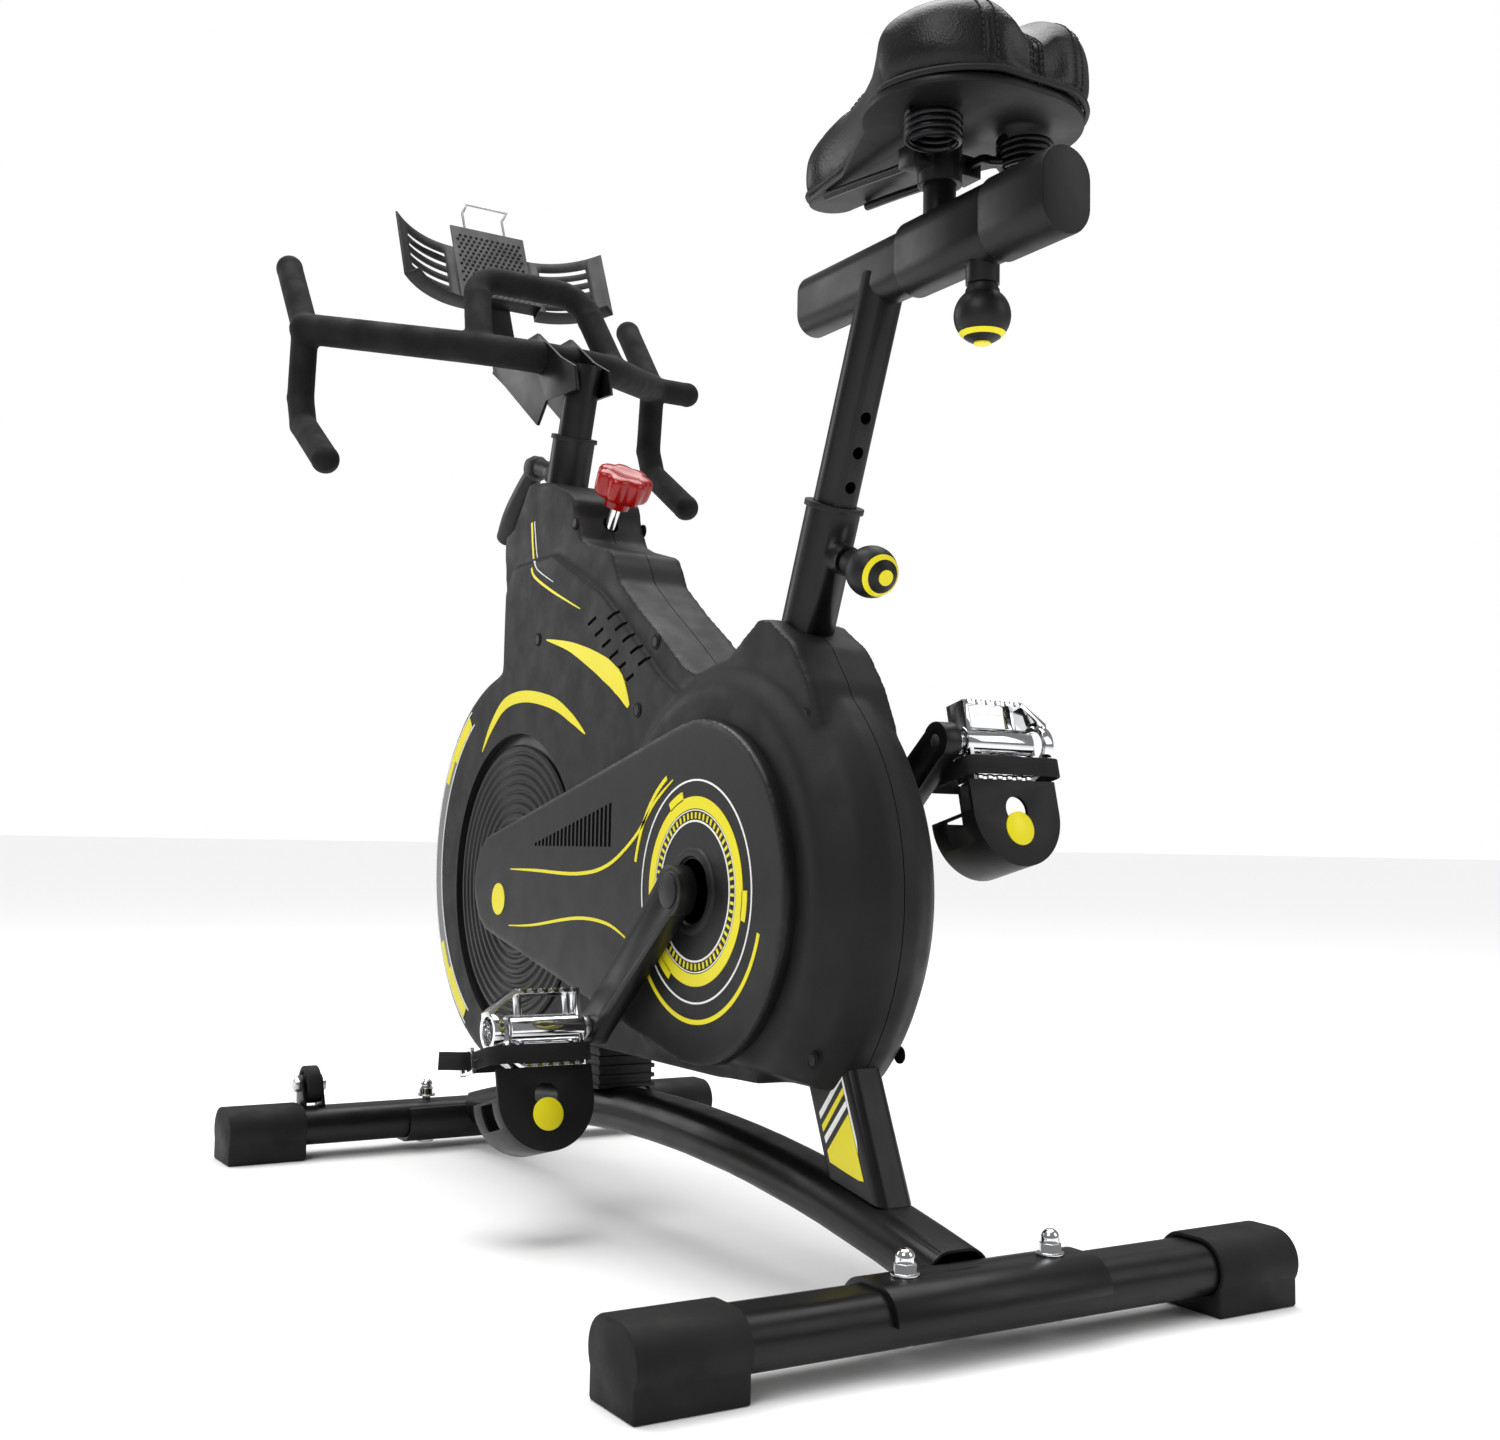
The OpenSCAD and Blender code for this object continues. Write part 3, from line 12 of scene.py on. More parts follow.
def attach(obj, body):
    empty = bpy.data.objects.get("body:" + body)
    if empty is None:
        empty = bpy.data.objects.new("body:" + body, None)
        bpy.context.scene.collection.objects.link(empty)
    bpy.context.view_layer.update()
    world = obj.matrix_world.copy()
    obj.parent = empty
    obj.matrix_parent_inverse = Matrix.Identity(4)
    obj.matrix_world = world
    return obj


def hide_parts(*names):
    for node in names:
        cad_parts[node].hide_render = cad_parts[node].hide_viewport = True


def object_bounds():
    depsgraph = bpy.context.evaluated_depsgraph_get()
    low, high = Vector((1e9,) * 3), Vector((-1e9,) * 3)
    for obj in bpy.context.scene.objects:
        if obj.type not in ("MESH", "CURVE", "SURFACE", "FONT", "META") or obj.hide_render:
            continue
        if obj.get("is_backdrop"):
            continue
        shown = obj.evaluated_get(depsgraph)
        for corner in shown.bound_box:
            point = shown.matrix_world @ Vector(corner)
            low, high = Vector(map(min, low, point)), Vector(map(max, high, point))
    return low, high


bl_info = {
    "name": "Indoor Cycling Bike",
    "version": (1, 0, 0),
    "blender": (4, 5, 0),
    "location": "View3D > Sidebar > Bike",
    "description": "Builds the shell, saddle, handlebar, pedals and finishes of an indoor cycling bike",
    "category": "Object",
}

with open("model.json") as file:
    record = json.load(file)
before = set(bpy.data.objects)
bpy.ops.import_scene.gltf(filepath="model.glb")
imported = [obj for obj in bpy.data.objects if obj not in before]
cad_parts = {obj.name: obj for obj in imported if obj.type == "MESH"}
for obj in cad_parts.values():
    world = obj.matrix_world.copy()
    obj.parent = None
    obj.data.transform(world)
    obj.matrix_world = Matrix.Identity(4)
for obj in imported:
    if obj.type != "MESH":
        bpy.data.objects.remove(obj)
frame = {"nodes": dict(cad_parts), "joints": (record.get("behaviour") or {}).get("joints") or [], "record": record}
CAD_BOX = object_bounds()
JOINTS = {j["name"]: j for j in frame["joints"]}
NODES = frame["nodes"]

# Layout distances run forward from the rear stabiliser's middle, in millimetres
Y_SHIFT = JOINTS["crank_turn"]["pos_m"][1] + 0.264
CRANK = (-264.0, 271.0)
FLY = (-640.0, 266.0)


def place(x, y, z):
    """A point of the layout, in metres."""
    return Vector((x / 1000, y / 1000 + Y_SHIFT, z / 1000))


# ---------------------------------------------------------------- settings

class BikeSizes(bpy.types.PropertyGroup):
    seam_gap: bpy.props.FloatProperty(name="Shell seam", description="Gap between the two shell halves",
                                      default=0.0007, unit="LENGTH")
    voxel: bpy.props.FloatProperty(name="Shell detail", description="Grid size of the moulded shell",
                                   default=0.0028, unit="LENGTH")
    stitch_pitch: bpy.props.FloatProperty(name="Stitch pitch", description="Distance between two saddle stitches",
                                          default=0.0046, unit="LENGTH")
    spring_turns: bpy.props.IntProperty(name="Spring turns", description="Coils in each saddle spring", default=4)
    floor_size: bpy.props.FloatProperty(name="Floor", description="Width of the studio floor",
                                        default=300.0, unit="LENGTH")


class BikeColours(bpy.types.PropertyGroup):
    frame_coat: bpy.props.StringProperty(name="Frame", description="Powder coat colour, sRGB hex", default="#0c0c0d")
    shell: bpy.props.StringProperty(name="Shell", description="Moulded shell colour, sRGB hex", default="#0e0e0f")
    accent: bpy.props.StringProperty(name="Accent", description="Printed accent colour, sRGB hex", default="#e2d51f")
    knob: bpy.props.StringProperty(name="Brake knob", description="Tension knob colour, sRGB hex", default="#930a08")


def sizes():
    return bpy.context.scene.bike_sizes


def colours():
    return bpy.context.scene.bike_colours


# ---------------------------------------------------------------- materials

def linear(code):
    """An sRGB hex colour as linear RGBA."""
    parts = [int(code[i:i + 2], 16) / 255 for i in (1, 3, 5)]
    return [c / 12.92 if c <= 0.04045 else ((c + 0.055) / 1.055) ** 2.4 for c in parts] + [1.0]


def add(tree, kind, links=(), **settings):
    """Adds a node. A setting named i0, i1 ... is an input's value; links are (input, source socket)."""
    node = tree.nodes.new(kind)
    for key, value in settings.items():
        if key[0] == "i" and key[1:].isdigit():
            node.inputs[int(key[1:])].default_value = value
        else:
            setattr(node, key, value)
    for name, source in links:
        tree.links.new(source, node.inputs[name])
    return node


def finish_of(name, colour, roughness, metallic=0.0, grain=None, blotch=0.08, fleck=None, wear=0.0, coat=0.0):
    """A finish with a grain bump (size mm, depth mm, kind), uneven roughness and slight colour drift."""
    mat = bpy.data.materials.new(name)
    mat.use_nodes = True
    tree = mat.node_tree
    shader = tree.nodes["Principled BSDF"]
    shader.inputs["Metallic"].default_value = metallic
    if not metallic:
        shader.inputs["Specular IOR Level"].default_value = 0.26
    if coat:
        shader.inputs["Coat Weight"].default_value = coat
        shader.inputs["Coat Roughness"].default_value = 0.12
    where = add(tree, "ShaderNodeTexCoord").outputs["Object"]
    drift = add(tree, "ShaderNodeTexNoise", [("Vector", where)], i2=14.0, i3=4.0)
    base = linear(colour)
    low = [c * (1 - blotch * 2) for c in base[:3]] + [1]
    high = [min(1, c * (1 + blotch * 2) + blotch * 0.006) for c in base[:3]] + [1]
    tint = add(tree, "ShaderNodeMix", [("Factor", drift.outputs["Fac"])], data_type="RGBA", i6=low, i7=high)
    result = tint.outputs[2]
    if fleck:
        size, code, share = fleck
        dots = add(tree, "ShaderNodeTexNoise", [("Vector", where)], i2=1000 / size, i3=2.0)
        cut = add(tree, "ShaderNodeMapRange", [("Value", dots.outputs["Fac"])], i1=1 - share, i2=1 - share + 0.06)
        result = add(tree, "ShaderNodeMix", [("Factor", cut.outputs[0]), (6, result)], data_type="RGBA",
                     i7=linear(code)).outputs[2]
    tree.links.new(result, shader.inputs["Base Color"])
    smear = add(tree, "ShaderNodeTexNoise", [("Vector", where)], i2=38.0, i3=6.0)
    rough = add(tree, "ShaderNodeMapRange", [("Value", smear.outputs["Fac"])], i1=0.25, i2=0.75,
                i3=max(0.02, roughness * (0.82 - wear)), i4=min(1, roughness * (1.18 + wear)))
    tree.links.new(rough.outputs[0], shader.inputs["Roughness"])
    if grain:
        size, depth, kind = grain
        if kind == "cells":
            height = add(tree, "ShaderNodeTexVoronoi", [("Vector", where)], i2=1000 / size, feature="F1").outputs[0]
        elif kind == "weave":
            a = add(tree, "ShaderNodeTexWave", [("Vector", where)], i1=1000 / size / 3.14, bands_direction="X")
            b = add(tree, "ShaderNodeTexWave", [("Vector", where)], i1=1000 / size / 3.14, bands_direction="Z")
            height = add(tree, "ShaderNodeMath", [(0, a.outputs["Fac"]), (1, b.outputs["Fac"])],
                         operation="MULTIPLY").outputs[0]
        elif kind == "brushed":
            squash = add(tree, "ShaderNodeMapping", [("Vector", where)], i3=(1, 30, 30))
            height = add(tree, "ShaderNodeTexNoise", [("Vector", squash.outputs[0])], i2=1000 / size / 12,
                         i3=3.0).outputs["Fac"]
        else:
            height = add(tree, "ShaderNodeTexNoise", [("Vector", where)], i2=1000 / size, i3=3.0).outputs["Fac"]
        bump = add(tree, "ShaderNodeBump", [("Height", height)], i0=0.9)
        bump.inputs["Distance"].default_value = depth / 1000
        tree.links.new(bump.outputs[0], shader.inputs["Normal"])
    return mat


def make_finishes():
    c = colours()
    return {
        # Powder-coated steel: baked paint with a fine orange peel, a soft sheen and no brush marks
        "powder_coat": finish_of("powder_coated_steel", c.frame_coat, 0.36, grain=(1.6, 0.05, "peel"), blotch=0.05),
        # Moulded ABS: spark-eroded texture that scatters light, matt, slightly warmer where handled
        "abs_textured": finish_of("abs_textured_shell", c.shell, 0.56, grain=(1.1, 0.09, "peel"), blotch=0.06),
        # Moulded ABS, finer tool finish on the covers, so they read a touch glossier
        "abs_satin": finish_of("abs_satin_cover", "#111113", 0.42, grain=(0.9, 0.04, "peel"), blotch=0.05),
        # Glass-filled nylon: hard black mouldings
        "nylon": finish_of("nylon_moulding", "#101011", 0.46, grain=(1.0, 0.05, "peel"), blotch=0.06),
        # Closed-cell foam sleeve: open matt skin with small cells
        "foam": finish_of("nbr_foam_sleeve", "#0e0e0e", 0.82, grain=(1.3, 0.22, "cells"), blotch=0.1),
        # Rubber: matt, dusty, slightly mottled
        "rubber": finish_of("moulded_rubber", "#101010", 0.7, grain=(1.4, 0.07, "peel"), blotch=0.12),
        # Polyurethane leather: embossed pebble grain with worn high spots
        "pu_leather": finish_of("pu_leather_black", "#0f0f10", 0.38, grain=(1.7, 0.16, "cells"), blotch=0.08, wear=0.12),
        "thread": finish_of("bonded_polyester_thread", "#1c1c1d", 0.6, grain=(0.7, 0.1, "peel")),
        # Polypropylene webbing: a plain weave of flat tapes
        "webbing": finish_of("polypropylene_webbing", "#121213", 0.7, grain=(1.8, 0.25, "weave"), blotch=0.1),
        # Chrome plate: mirror bright with faint handling smears
        "chrome": finish_of("chrome_plate", "#d9dadc", 0.09, 1.0, grain=(9.0, 0.012, "peel"), blotch=0.02, wear=0.4),
        # Zinc-plated and drawn steel: soft lengthwise draw lines
        "steel": finish_of("zinc_plated_steel", "#b9babc", 0.26, 1.0, grain=(1.2, 0.02, "brushed"), blotch=0.05),
        # Black-oxide spring steel: dark, oily, with bright glints on the curve of the wire
        "black_steel": finish_of("black_oxide_steel", "#232325", 0.3, 0.9, grain=(1.2, 0.02, "brushed"), blotch=0.06),
        # Grey cast iron: turned, with pits
        "iron": finish_of("cast_iron", "#55565a", 0.45, 0.9, grain=(2.2, 0.08, "peel"), blotch=0.12),
        # Vinyl film and screen inks
        "yellow": finish_of("printed_vinyl_accent", c.accent, 0.34, grain=(3.0, 0.01, "peel"), blotch=0.04),
        "white": finish_of("printed_vinyl_white", "#e9e9e6", 0.34, grain=(3.0, 0.01, "peel"), blotch=0.03),
        "grey": finish_of("printed_vinyl_grey", "#77777a", 0.4, grain=(3.0, 0.01, "peel"), blotch=0.05),
        # Red polypropylene knob: glossy moulding with a soft highlight
        "red": finish_of("polypropylene_red", c.knob, 0.26, grain=(2.4, 0.03, "peel"), blotch=0.06, coat=0.3),
        # Unlit black: painted shade, used for the flat discs round the shell screws where the recesses would be dark
        "dark": finish_of("unlit_gap_black", "#070707", 0.8, grain=(2.0, 0.05, "peel")),
        # Studio paper: even, pale, barely rough
        "paper": finish_of("studio_paper", "#f4f4f4", 0.75, grain=(5.0, 0.02, "peel"), blotch=0.004),
    }


# ---------------------------------------------------------------- mesh tools

def solid(name, verts, faces, finish, body, slot=None, smooth=35, replaces=()):
    """A finished piece from points and faces, smooth where faces meet at less than an angle."""
    mesh = bpy.data.meshes.new(name)
    mesh.from_pydata([tuple(v) for v in verts], [], faces)
    piece = bpy.data.objects.new(name, mesh)
    bpy.context.collection.objects.link(piece)
    return settle(piece, finish, body, slot, smooth, replaces)


def settle(piece, finish, body, slot=None, smooth=35, replaces=()):
    """Welds, turns faces outward, smooths, gives the finish and says what the piece rides on."""
    tidy_mesh(piece)
    piece.data.materials.clear()
    piece.data.materials.append(FINISH[finish])
    soften(piece, smooth)
    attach(piece, body)
    if replaces:
        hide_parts(*replaces)
    return piece


def tidy_mesh(piece, weld=1e-6):
    work = bmesh.new()
    work.from_mesh(piece.data)
    bmesh.ops.remove_doubles(work, verts=work.verts, dist=weld)
    bmesh.ops.recalc_face_normals(work, faces=work.faces)
    work.to_mesh(piece.data)
    work.free()


def soften(piece, angle):
    piece.data.polygons.foreach_set("use_smooth", [True] * len(piece.data.polygons))
    piece.data.set_sharp_from_angle(angle=math.radians(angle))
    piece.data.update()


def frames_along(points, up):
    """Side and up directions at each point of a path, turned as little as possible."""
    out = []
    n = len(points)
    normal = up
    for i in range(n):
        ahead = (points[min(i + 1, n - 1)] - points[max(i - 1, 0)]).normalized()
        normal = (normal - ahead * normal.dot(ahead)).normalized()
        out.append((ahead.cross(normal).normalized(), normal))
    return out


def sweep(points, section, up=Vector((1, 0, 0)), closed=False):
    """Points and faces of a section (list of side, up offsets, metres) swept along a path."""
    n, m = len(points), len(section)
    verts = []
    if closed:
        loop = points[-1:] + points + points[:1]
        axes = frames_along(loop, up)[1:-1]
    else:
        axes = frames_along(points, up)
    for p, (side, high) in zip(points, axes):
        verts += [p + side * a + high * b for a, b in section]
    faces = []
    for i in range(n if closed else n - 1):
        k = (i + 1) % n
        for j in range(m):
            l = (j + 1) % m
            faces.append((i * m + j, i * m + l, k * m + l, k * m + j))
    if not closed:
        faces.append(tuple(reversed(range(m))))
        faces.append(tuple((n - 1) * m + j for j in range(m)))
    return verts, faces


def round_section(r, m=20):
    return [(r * math.cos(2 * math.pi * k / m), r * math.sin(2 * math.pi * k / m)) for k in range(m)]


def rounded_box(w, h, r, m=4):
    """Corners of a rounded rectangle, anticlockwise."""
    out = []
    for k, (sx, sy) in enumerate([(1, 1), (-1, 1), (-1, -1), (1, -1)]):
        for j in range(m + 1):
            a = math.radians(90 * k + 90 * j / m)
            out.append((sx * (w / 2 - r) + r * math.cos(a), sy * (h / 2 - r) + r * math.sin(a)))
    return out


def curve_through(points, per=10, closed=False):
    """A smooth path through the points."""
    pts = [Vector(p) for p in points]
    n = len(pts)
    out = []
    for i in range(n if closed else n - 1):
        if closed:
            a, b, c, d = pts[i - 1], pts[i], pts[(i + 1) % n], pts[(i + 2) % n]
        else:
            a, b, c, d = pts[max(i - 1, 0)], pts[i], pts[i + 1], pts[min(i + 2, n - 1)]
        for k in range(per):
            t = k / per
            out.append(0.5 * ((2 * b) + (c - a) * t + (2 * a - 5 * b + 4 * c - d) * t * t
                              + (3 * b - a - 3 * c + d) * t ** 3))
    if not closed:
        out.append(pts[-1])
    return out


def join_geometry(parts):
    verts, faces = [], []
    for v, f in parts:
        base = len(verts)
        verts += list(v)
        faces += [tuple(base + i for i in face) for face in f]
    return verts, faces


def lathe(profile, spot, axis, m=48):
    """A solid of revolution from (along, radius) pairs, closed at both ends."""
    axis = Vector(axis).normalized()
    side = axis.orthogonal().normalized()
    high = axis.cross(side)
    verts = []
    for along, r in profile:
        for k in range(m):
            a = 2 * math.pi * k / m
            verts.append(spot + axis * along + (side * math.cos(a) + high * math.sin(a)) * r)
    faces = []
    for i in range(len(profile) - 1):
        for k in range(m):
            l = (k + 1) % m
            faces.append((i * m + k, i * m + l, (i + 1) * m + l, (i + 1) * m + k))
    faces.append(tuple(reversed(range(m))))
    faces.append(tuple((len(profile) - 1) * m + k for k in range(m)))
    return verts, faces


def slab(outline, x0, x1):
    """A flat plate across the bike from a side-view outline in layout millimetres."""
    n = len(outline)
    verts = [place(x, y, z) for x in (x0, x1) for y, z in outline]
    faces = [tuple(range(n)), tuple(reversed(range(n, 2 * n)))]
    faces += [(i, n + i, n + (i + 1) % n, (i + 1) % n) for i in range(n)]
    return verts, faces


def ribbon(line, widths, x0, x1):
    """A plate that follows a side-view line with a width at each point, mm."""
    pts = [Vector((p[0], p[1], 0)) for p in line]
    pts = curve_through(pts, 6)
    n = len(pts)
    left, right = [], []
    for i, p in enumerate(pts):
        d = (pts[min(i + 1, n - 1)] - pts[max(i - 1, 0)]).normalized()
        t = i / (n - 1) * (len(widths) - 1)
        k = min(int(t), len(widths) - 2)
        w = widths[k] + (widths[k + 1] - widths[k]) * (t - k)
        left.append((p.x - d.y * w / 2, p.y + d.x * w / 2))
        right.append((p.x + d.y * w / 2, p.y - d.x * w / 2))
    verts, faces = [], []
    for x in (x0, x1):
        verts += [place(x, y, z) for y, z in left] + [place(x, y, z) for y, z in right]
    for i in range(n - 1):
        faces.append((i, i + 1, n + i + 1, n + i))
        faces.append((2 * n + i, 3 * n + i, 3 * n + i + 1, 2 * n + i + 1))
        faces.append((i, 2 * n + i, 2 * n + i + 1, i + 1))
        faces.append((n + i, n + i + 1, 3 * n + i + 1, 3 * n + i))
    faces.append((0, n, 3 * n, 2 * n))
    faces.append((n - 1, 3 * n - 1, 4 * n - 1, 2 * n - 1))
    return verts, faces


def arc_band(centre, r0, r1, a0, a1, x0, x1, m=64):
    """A ring or arc plate round a side-view centre; angles from forward (-Y), upward positive."""
    full = abs(a1 - a0) >= 360
    n = m if full else m + 1
    verts, faces = [], []
    for x in (x0, x1):
        for r in (r0, r1):
            for k in range(n):
                a = math.radians(a0 + (a1 - a0) * k / m)
                verts.append(place(x, centre[0] - r * math.cos(a), centre[1] + r * math.sin(a)))
    for k in range(m):
        l = (k + 1) % n
        for a, b in ((0, 1), (1, 3), (3, 2), (2, 0)):
            faces.append((a * n + k, a * n + l, b * n + l, b * n + k))
    if not full:
        faces += [(0, n, 3 * n, 2 * n), (n - 1, 3 * n - 1, 4 * n - 1, 2 * n - 1)]
    return verts, faces


def apply_modifiers(piece):
    """Replaces a piece's mesh with what its modifiers make of it."""
    bpy.context.view_layer.update()
    made = bpy.data.meshes.new_from_object(piece.evaluated_get(bpy.context.evaluated_depsgraph_get()))
    piece.modifiers.clear()
    piece.data = made


def loose_object(name, verts, faces):
    mesh = bpy.data.meshes.new(name)
    mesh.from_pydata([tuple(v) for v in verts], [], faces)
    piece = bpy.data.objects.new(name, mesh)
    bpy.context.collection.objects.link(piece)
    tidy_mesh(piece)
    return piece


def mould(name, parts, voxel, passes):
    """Melts overlapping solids into one rounded moulding."""
    piece = loose_object(name, *join_geometry(parts))
    melt = piece.modifiers.new("melt", "REMESH")
    melt.mode = "VOXEL"
    melt.voxel_size = voxel
    ease = piece.modifiers.new("ease", "SMOOTH")
    ease.factor = 0.5
    ease.iterations = passes
    apply_modifiers(piece)
    return piece


def carve(piece, cutters):
    """Cuts other solids out of a piece and removes them."""
    for cutter in cutters:
        cut = piece.modifiers.new("cut", "BOOLEAN")
        cut.operation = "DIFFERENCE"
        cut.solver = "EXACT"
        cut.object = cutter
    apply_modifiers(piece)
    for cutter in cutters:
        bpy.data.objects.remove(cutter, do_unlink=True)


def dress(node, finish, bevel=0.0, smooth=32):
    """Gives a CAD node softened edges and its finish, as a piece on the same body."""
    source = NODES[node]
    piece = bpy.data.objects.new(node + "_skin", source.data.copy())
    bpy.context.collection.objects.link(piece)
    work = bmesh.new()
    work.from_mesh(piece.data)
    bmesh.ops.remove_doubles(work, verts=work.verts, dist=2e-6)
    bmesh.ops.dissolve_limit(work, angle_limit=math.radians(1.0), verts=work.verts, edges=work.edges)
    work.to_mesh(piece.data)
    work.free()
    if bevel:
        edge = piece.modifiers.new("edge", "BEVEL")
        edge.width = bevel
        edge.segments = 2
        edge.limit_method = "ANGLE"
        edge.angle_limit = math.radians(40)
        edge.use_clamp_overlap = True
        apply_modifiers(piece)
    piece.data.materials.clear()
    piece.data.materials.append(FINISH[finish])
    soften(piece, smooth)
    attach(piece, BODY_OF[node])
    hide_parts(node)
    return piece


BODY_OF = {n: b for b, names in frame["record"]["behaviour"]["bodies"].items() for n in names}
FINISH = {}


# ---------------------------------------------------------------- repeated pieces

def node_tree(name, inputs):
    """An empty geometry tree with a mesh in and out and named inputs."""
    tree = bpy.data.node_groups.new(name, "GeometryNodeTree")
    tree.interface.new_socket(name="Geometry", in_out="INPUT", socket_type="NodeSocketGeometry")
    for label, kind in inputs:
        tree.interface.new_socket(name=label, in_out="INPUT", socket_type=kind)
    tree.interface.new_socket(name="Geometry", in_out="OUTPUT", socket_type="NodeSocketGeometry")
    return tree, add(tree, "NodeGroupInput").outputs, add(tree, "NodeGroupOutput")


def finish_tree(tree, out, instances, material):
    real = add(tree, "GeometryNodeRealizeInstances", [("Geometry", instances)])
    shown = add(tree, "GeometryNodeSetMaterial", [("Geometry", real.outputs[0]), ("Material", material)])
    tree.links.new(shown.outputs[0], out.inputs[0])


def stitch_tree():
    """Short threads laid end to end along every edge path."""
    tree, given, out = node_tree("stitch_run", [("Pitch", "NodeSocketFloat"), ("Thread Radius", "NodeSocketFloat"),
                                                ("Share", "NodeSocketFloat"), ("Material", "NodeSocketMaterial")])
    path = add(tree, "GeometryNodeMeshToCurve", [("Mesh", given[0])])
    spaced = add(tree, "GeometryNodeResampleCurve", [("Curve", path.outputs[0]), ("Length", given[1])], mode="LENGTH")
    length = add(tree, "ShaderNodeMath", [(0, given[1]), (1, given[3])], operation="MULTIPLY")
    thread = add(tree, "GeometryNodeMeshCylinder", [("Radius", given[2]), ("Depth", length.outputs[0])], i0=8)
    along = add(tree, "GeometryNodeInputTangent")
    turn = add(tree, "FunctionNodeAlignRotationToVector", [("Vector", along.outputs[0])], axis="Z")
    laid = add(tree, "GeometryNodeInstanceOnPoints", [("Points", spaced.outputs[0]), ("Instance", thread.outputs[0]),
                                                      ("Rotation", turn.outputs[0])])
    finish_tree(tree, out, laid.outputs[0], given[4])
    return tree


def stud_tree():
    """A small domed stud on every point, standing along the bike's width."""
    tree, given, out = node_tree("stud_field", [("Radius", "NodeSocketFloat"), ("Height", "NodeSocketFloat"),
                                                ("Sides", "NodeSocketInt"), ("Material", "NodeSocketMaterial")])
    stud = add(tree, "GeometryNodeMeshCylinder", [("Vertices", given[3]), ("Radius", given[1]), ("Depth", given[2])])
    turn = add(tree, "FunctionNodeEulerToRotation", i0=(0, math.radians(90), 0))
    laid = add(tree, "GeometryNodeInstanceOnPoints", [("Points", given[0]), ("Instance", stud.outputs[0]),
                                                      ("Rotation", turn.outputs[0])])
    finish_tree(tree, out, laid.outputs[0], given[4])
    return tree


def grown(name, tree, verts, edges, values, finish, body, slot=None, smooth=30):
    """A piece that a geometry tree grows from points or edge paths."""
    mesh = bpy.data.meshes.new(name)
    mesh.from_pydata([tuple(v) for v in verts], edges, [])
    piece = bpy.data.objects.new(name, mesh)
    bpy.context.collection.objects.link(piece)
    grow = piece.modifiers.new("grow", "NODES")
    grow.node_group = tree
    sockets = {s.name: s.identifier for s in tree.interface.items_tree if s.in_out == "INPUT"}
    for label, value in dict(values, Material=FINISH[finish]).items():
        grow[sockets[label]] = value
    apply_modifiers(piece)
    return settle(piece, finish, body, slot, smooth)


# ---------------------------------------------------------------- shell

NECK = [(-700, 420), (-694, 470), (-688, 532), (-697, 590), (-694, 603), (-676, 606), (-641, 646), (-600, 640),
        (-550, 622), (-539, 614), (-535, 598), (-522, 574), (-504, 567), (-462, 556), (-453, 543), (-445, 528),
        (-408, 500), (-375, 478), (-331, 446), (-311, 438), (-284, 439), (-262, 447), (-240, 460), (-221, 471),
        (-205, 470), (-172, 449), (-150, 420), (-137, 392), (-140, 300), (-264, 250), (-640, 250)]
BODY = [(-690, 430), (-680, 470), (-678, 545), (-660, 566), (-570, 566), (-530, 548), (-470, 520), (-440, 500),
        (-400, 470), (-360, 440), (-320, 418), (-264, 404), (-200, 380), (-200, 136), (-264, 134), (-545, 134),
        (-600, 120), (-640, 200)]
SIDE = 40.0
RECESS_X = 31.0
DRUM = (-657.0, 281.0)
ROD_AXIS = Vector((0, math.sin(math.radians(34)), math.cos(math.radians(34))))


def drum_solid(centre, profile, floor=None):
    """A drum across the bike from (x, radius) pairs in mm, cut flat at a floor height."""
    verts, faces = lathe([(x / 1000, r / 1000) for x, r in profile], place(0, *centre), (1, 0, 0), 160)
    if floor is not None:
        low = floor / 1000
        verts = [Vector((v.x, v.y, max(v.z, low + 0.00035 * abs(v.x * 1000)))) for v in verts]
    return verts, faces


class BIKE_OT_shell(bpy.types.Operator):
    """Two moulded shell halves with the flywheel recess, louvres and seam"""
    bl_idname = "bike.shell"
    bl_label = "Shell halves"

    def execute(self, context):
        parts = [
            slab(NECK, -34, 34), slab(BODY, -SIDE, SIDE),
            drum_solid(DRUM, [(-40, 184), (-18, 197), (18, 197), (40, 184)]),
            drum_solid(CRANK, [(-50, 149), (-46, 156), (-30, 174), (-12, 183), (12, 183), (30, 174), (46, 156),
                               (50, 149)], 132),
        ]
        whole = mould("shell_whole", parts, sizes().voxel, 12)
        cutters = []
        for side in (1, -1):
            low, high = sorted((side * RECESS_X, side * 70.0))
            cutters.append(loose_object("recess", *drum_solid(FLY, [(low, 140), (high, 140)])))
            cutters.append(loose_object("vents", *join_geometry(louvres(side))))
        rod_hole = lathe([(-0.02, 0.0075), (0.06, 0.0075)], place(0, -545, 574), ROD_AXIS, 24)
        cutters.append(loose_object("rod_hole", *rod_hole))
        carve(whole, cutters)
        gap = sizes().seam_gap
        for side, name, node in ((1, "shell_left", "left_shell"), (-1, "shell_right", "right_shell")):
            half = bpy.data.objects.new(name, whole.data.copy())
            bpy.context.collection.objects.link(half)
            work = bmesh.new()
            work.from_mesh(half.data)
            bmesh.ops.bisect_plane(work, geom=work.verts[:] + work.edges[:] + work.faces[:],
                                   plane_co=(side * gap / 2, 0, 0), plane_no=(side, 0, 0), clear_inner=True)
            work.to_mesh(half.data)
            work.free()
            wall = half.modifiers.new("wall", "SOLIDIFY")
            wall.thickness = 0.0022
            wall.offset = -1
            apply_modifiers(half)
            settle(half, "abs_textured", "frame", "shell_plastic", 28, (node,))
        bpy.data.objects.remove(whole, do_unlink=True)
        return {"FINISHED"}


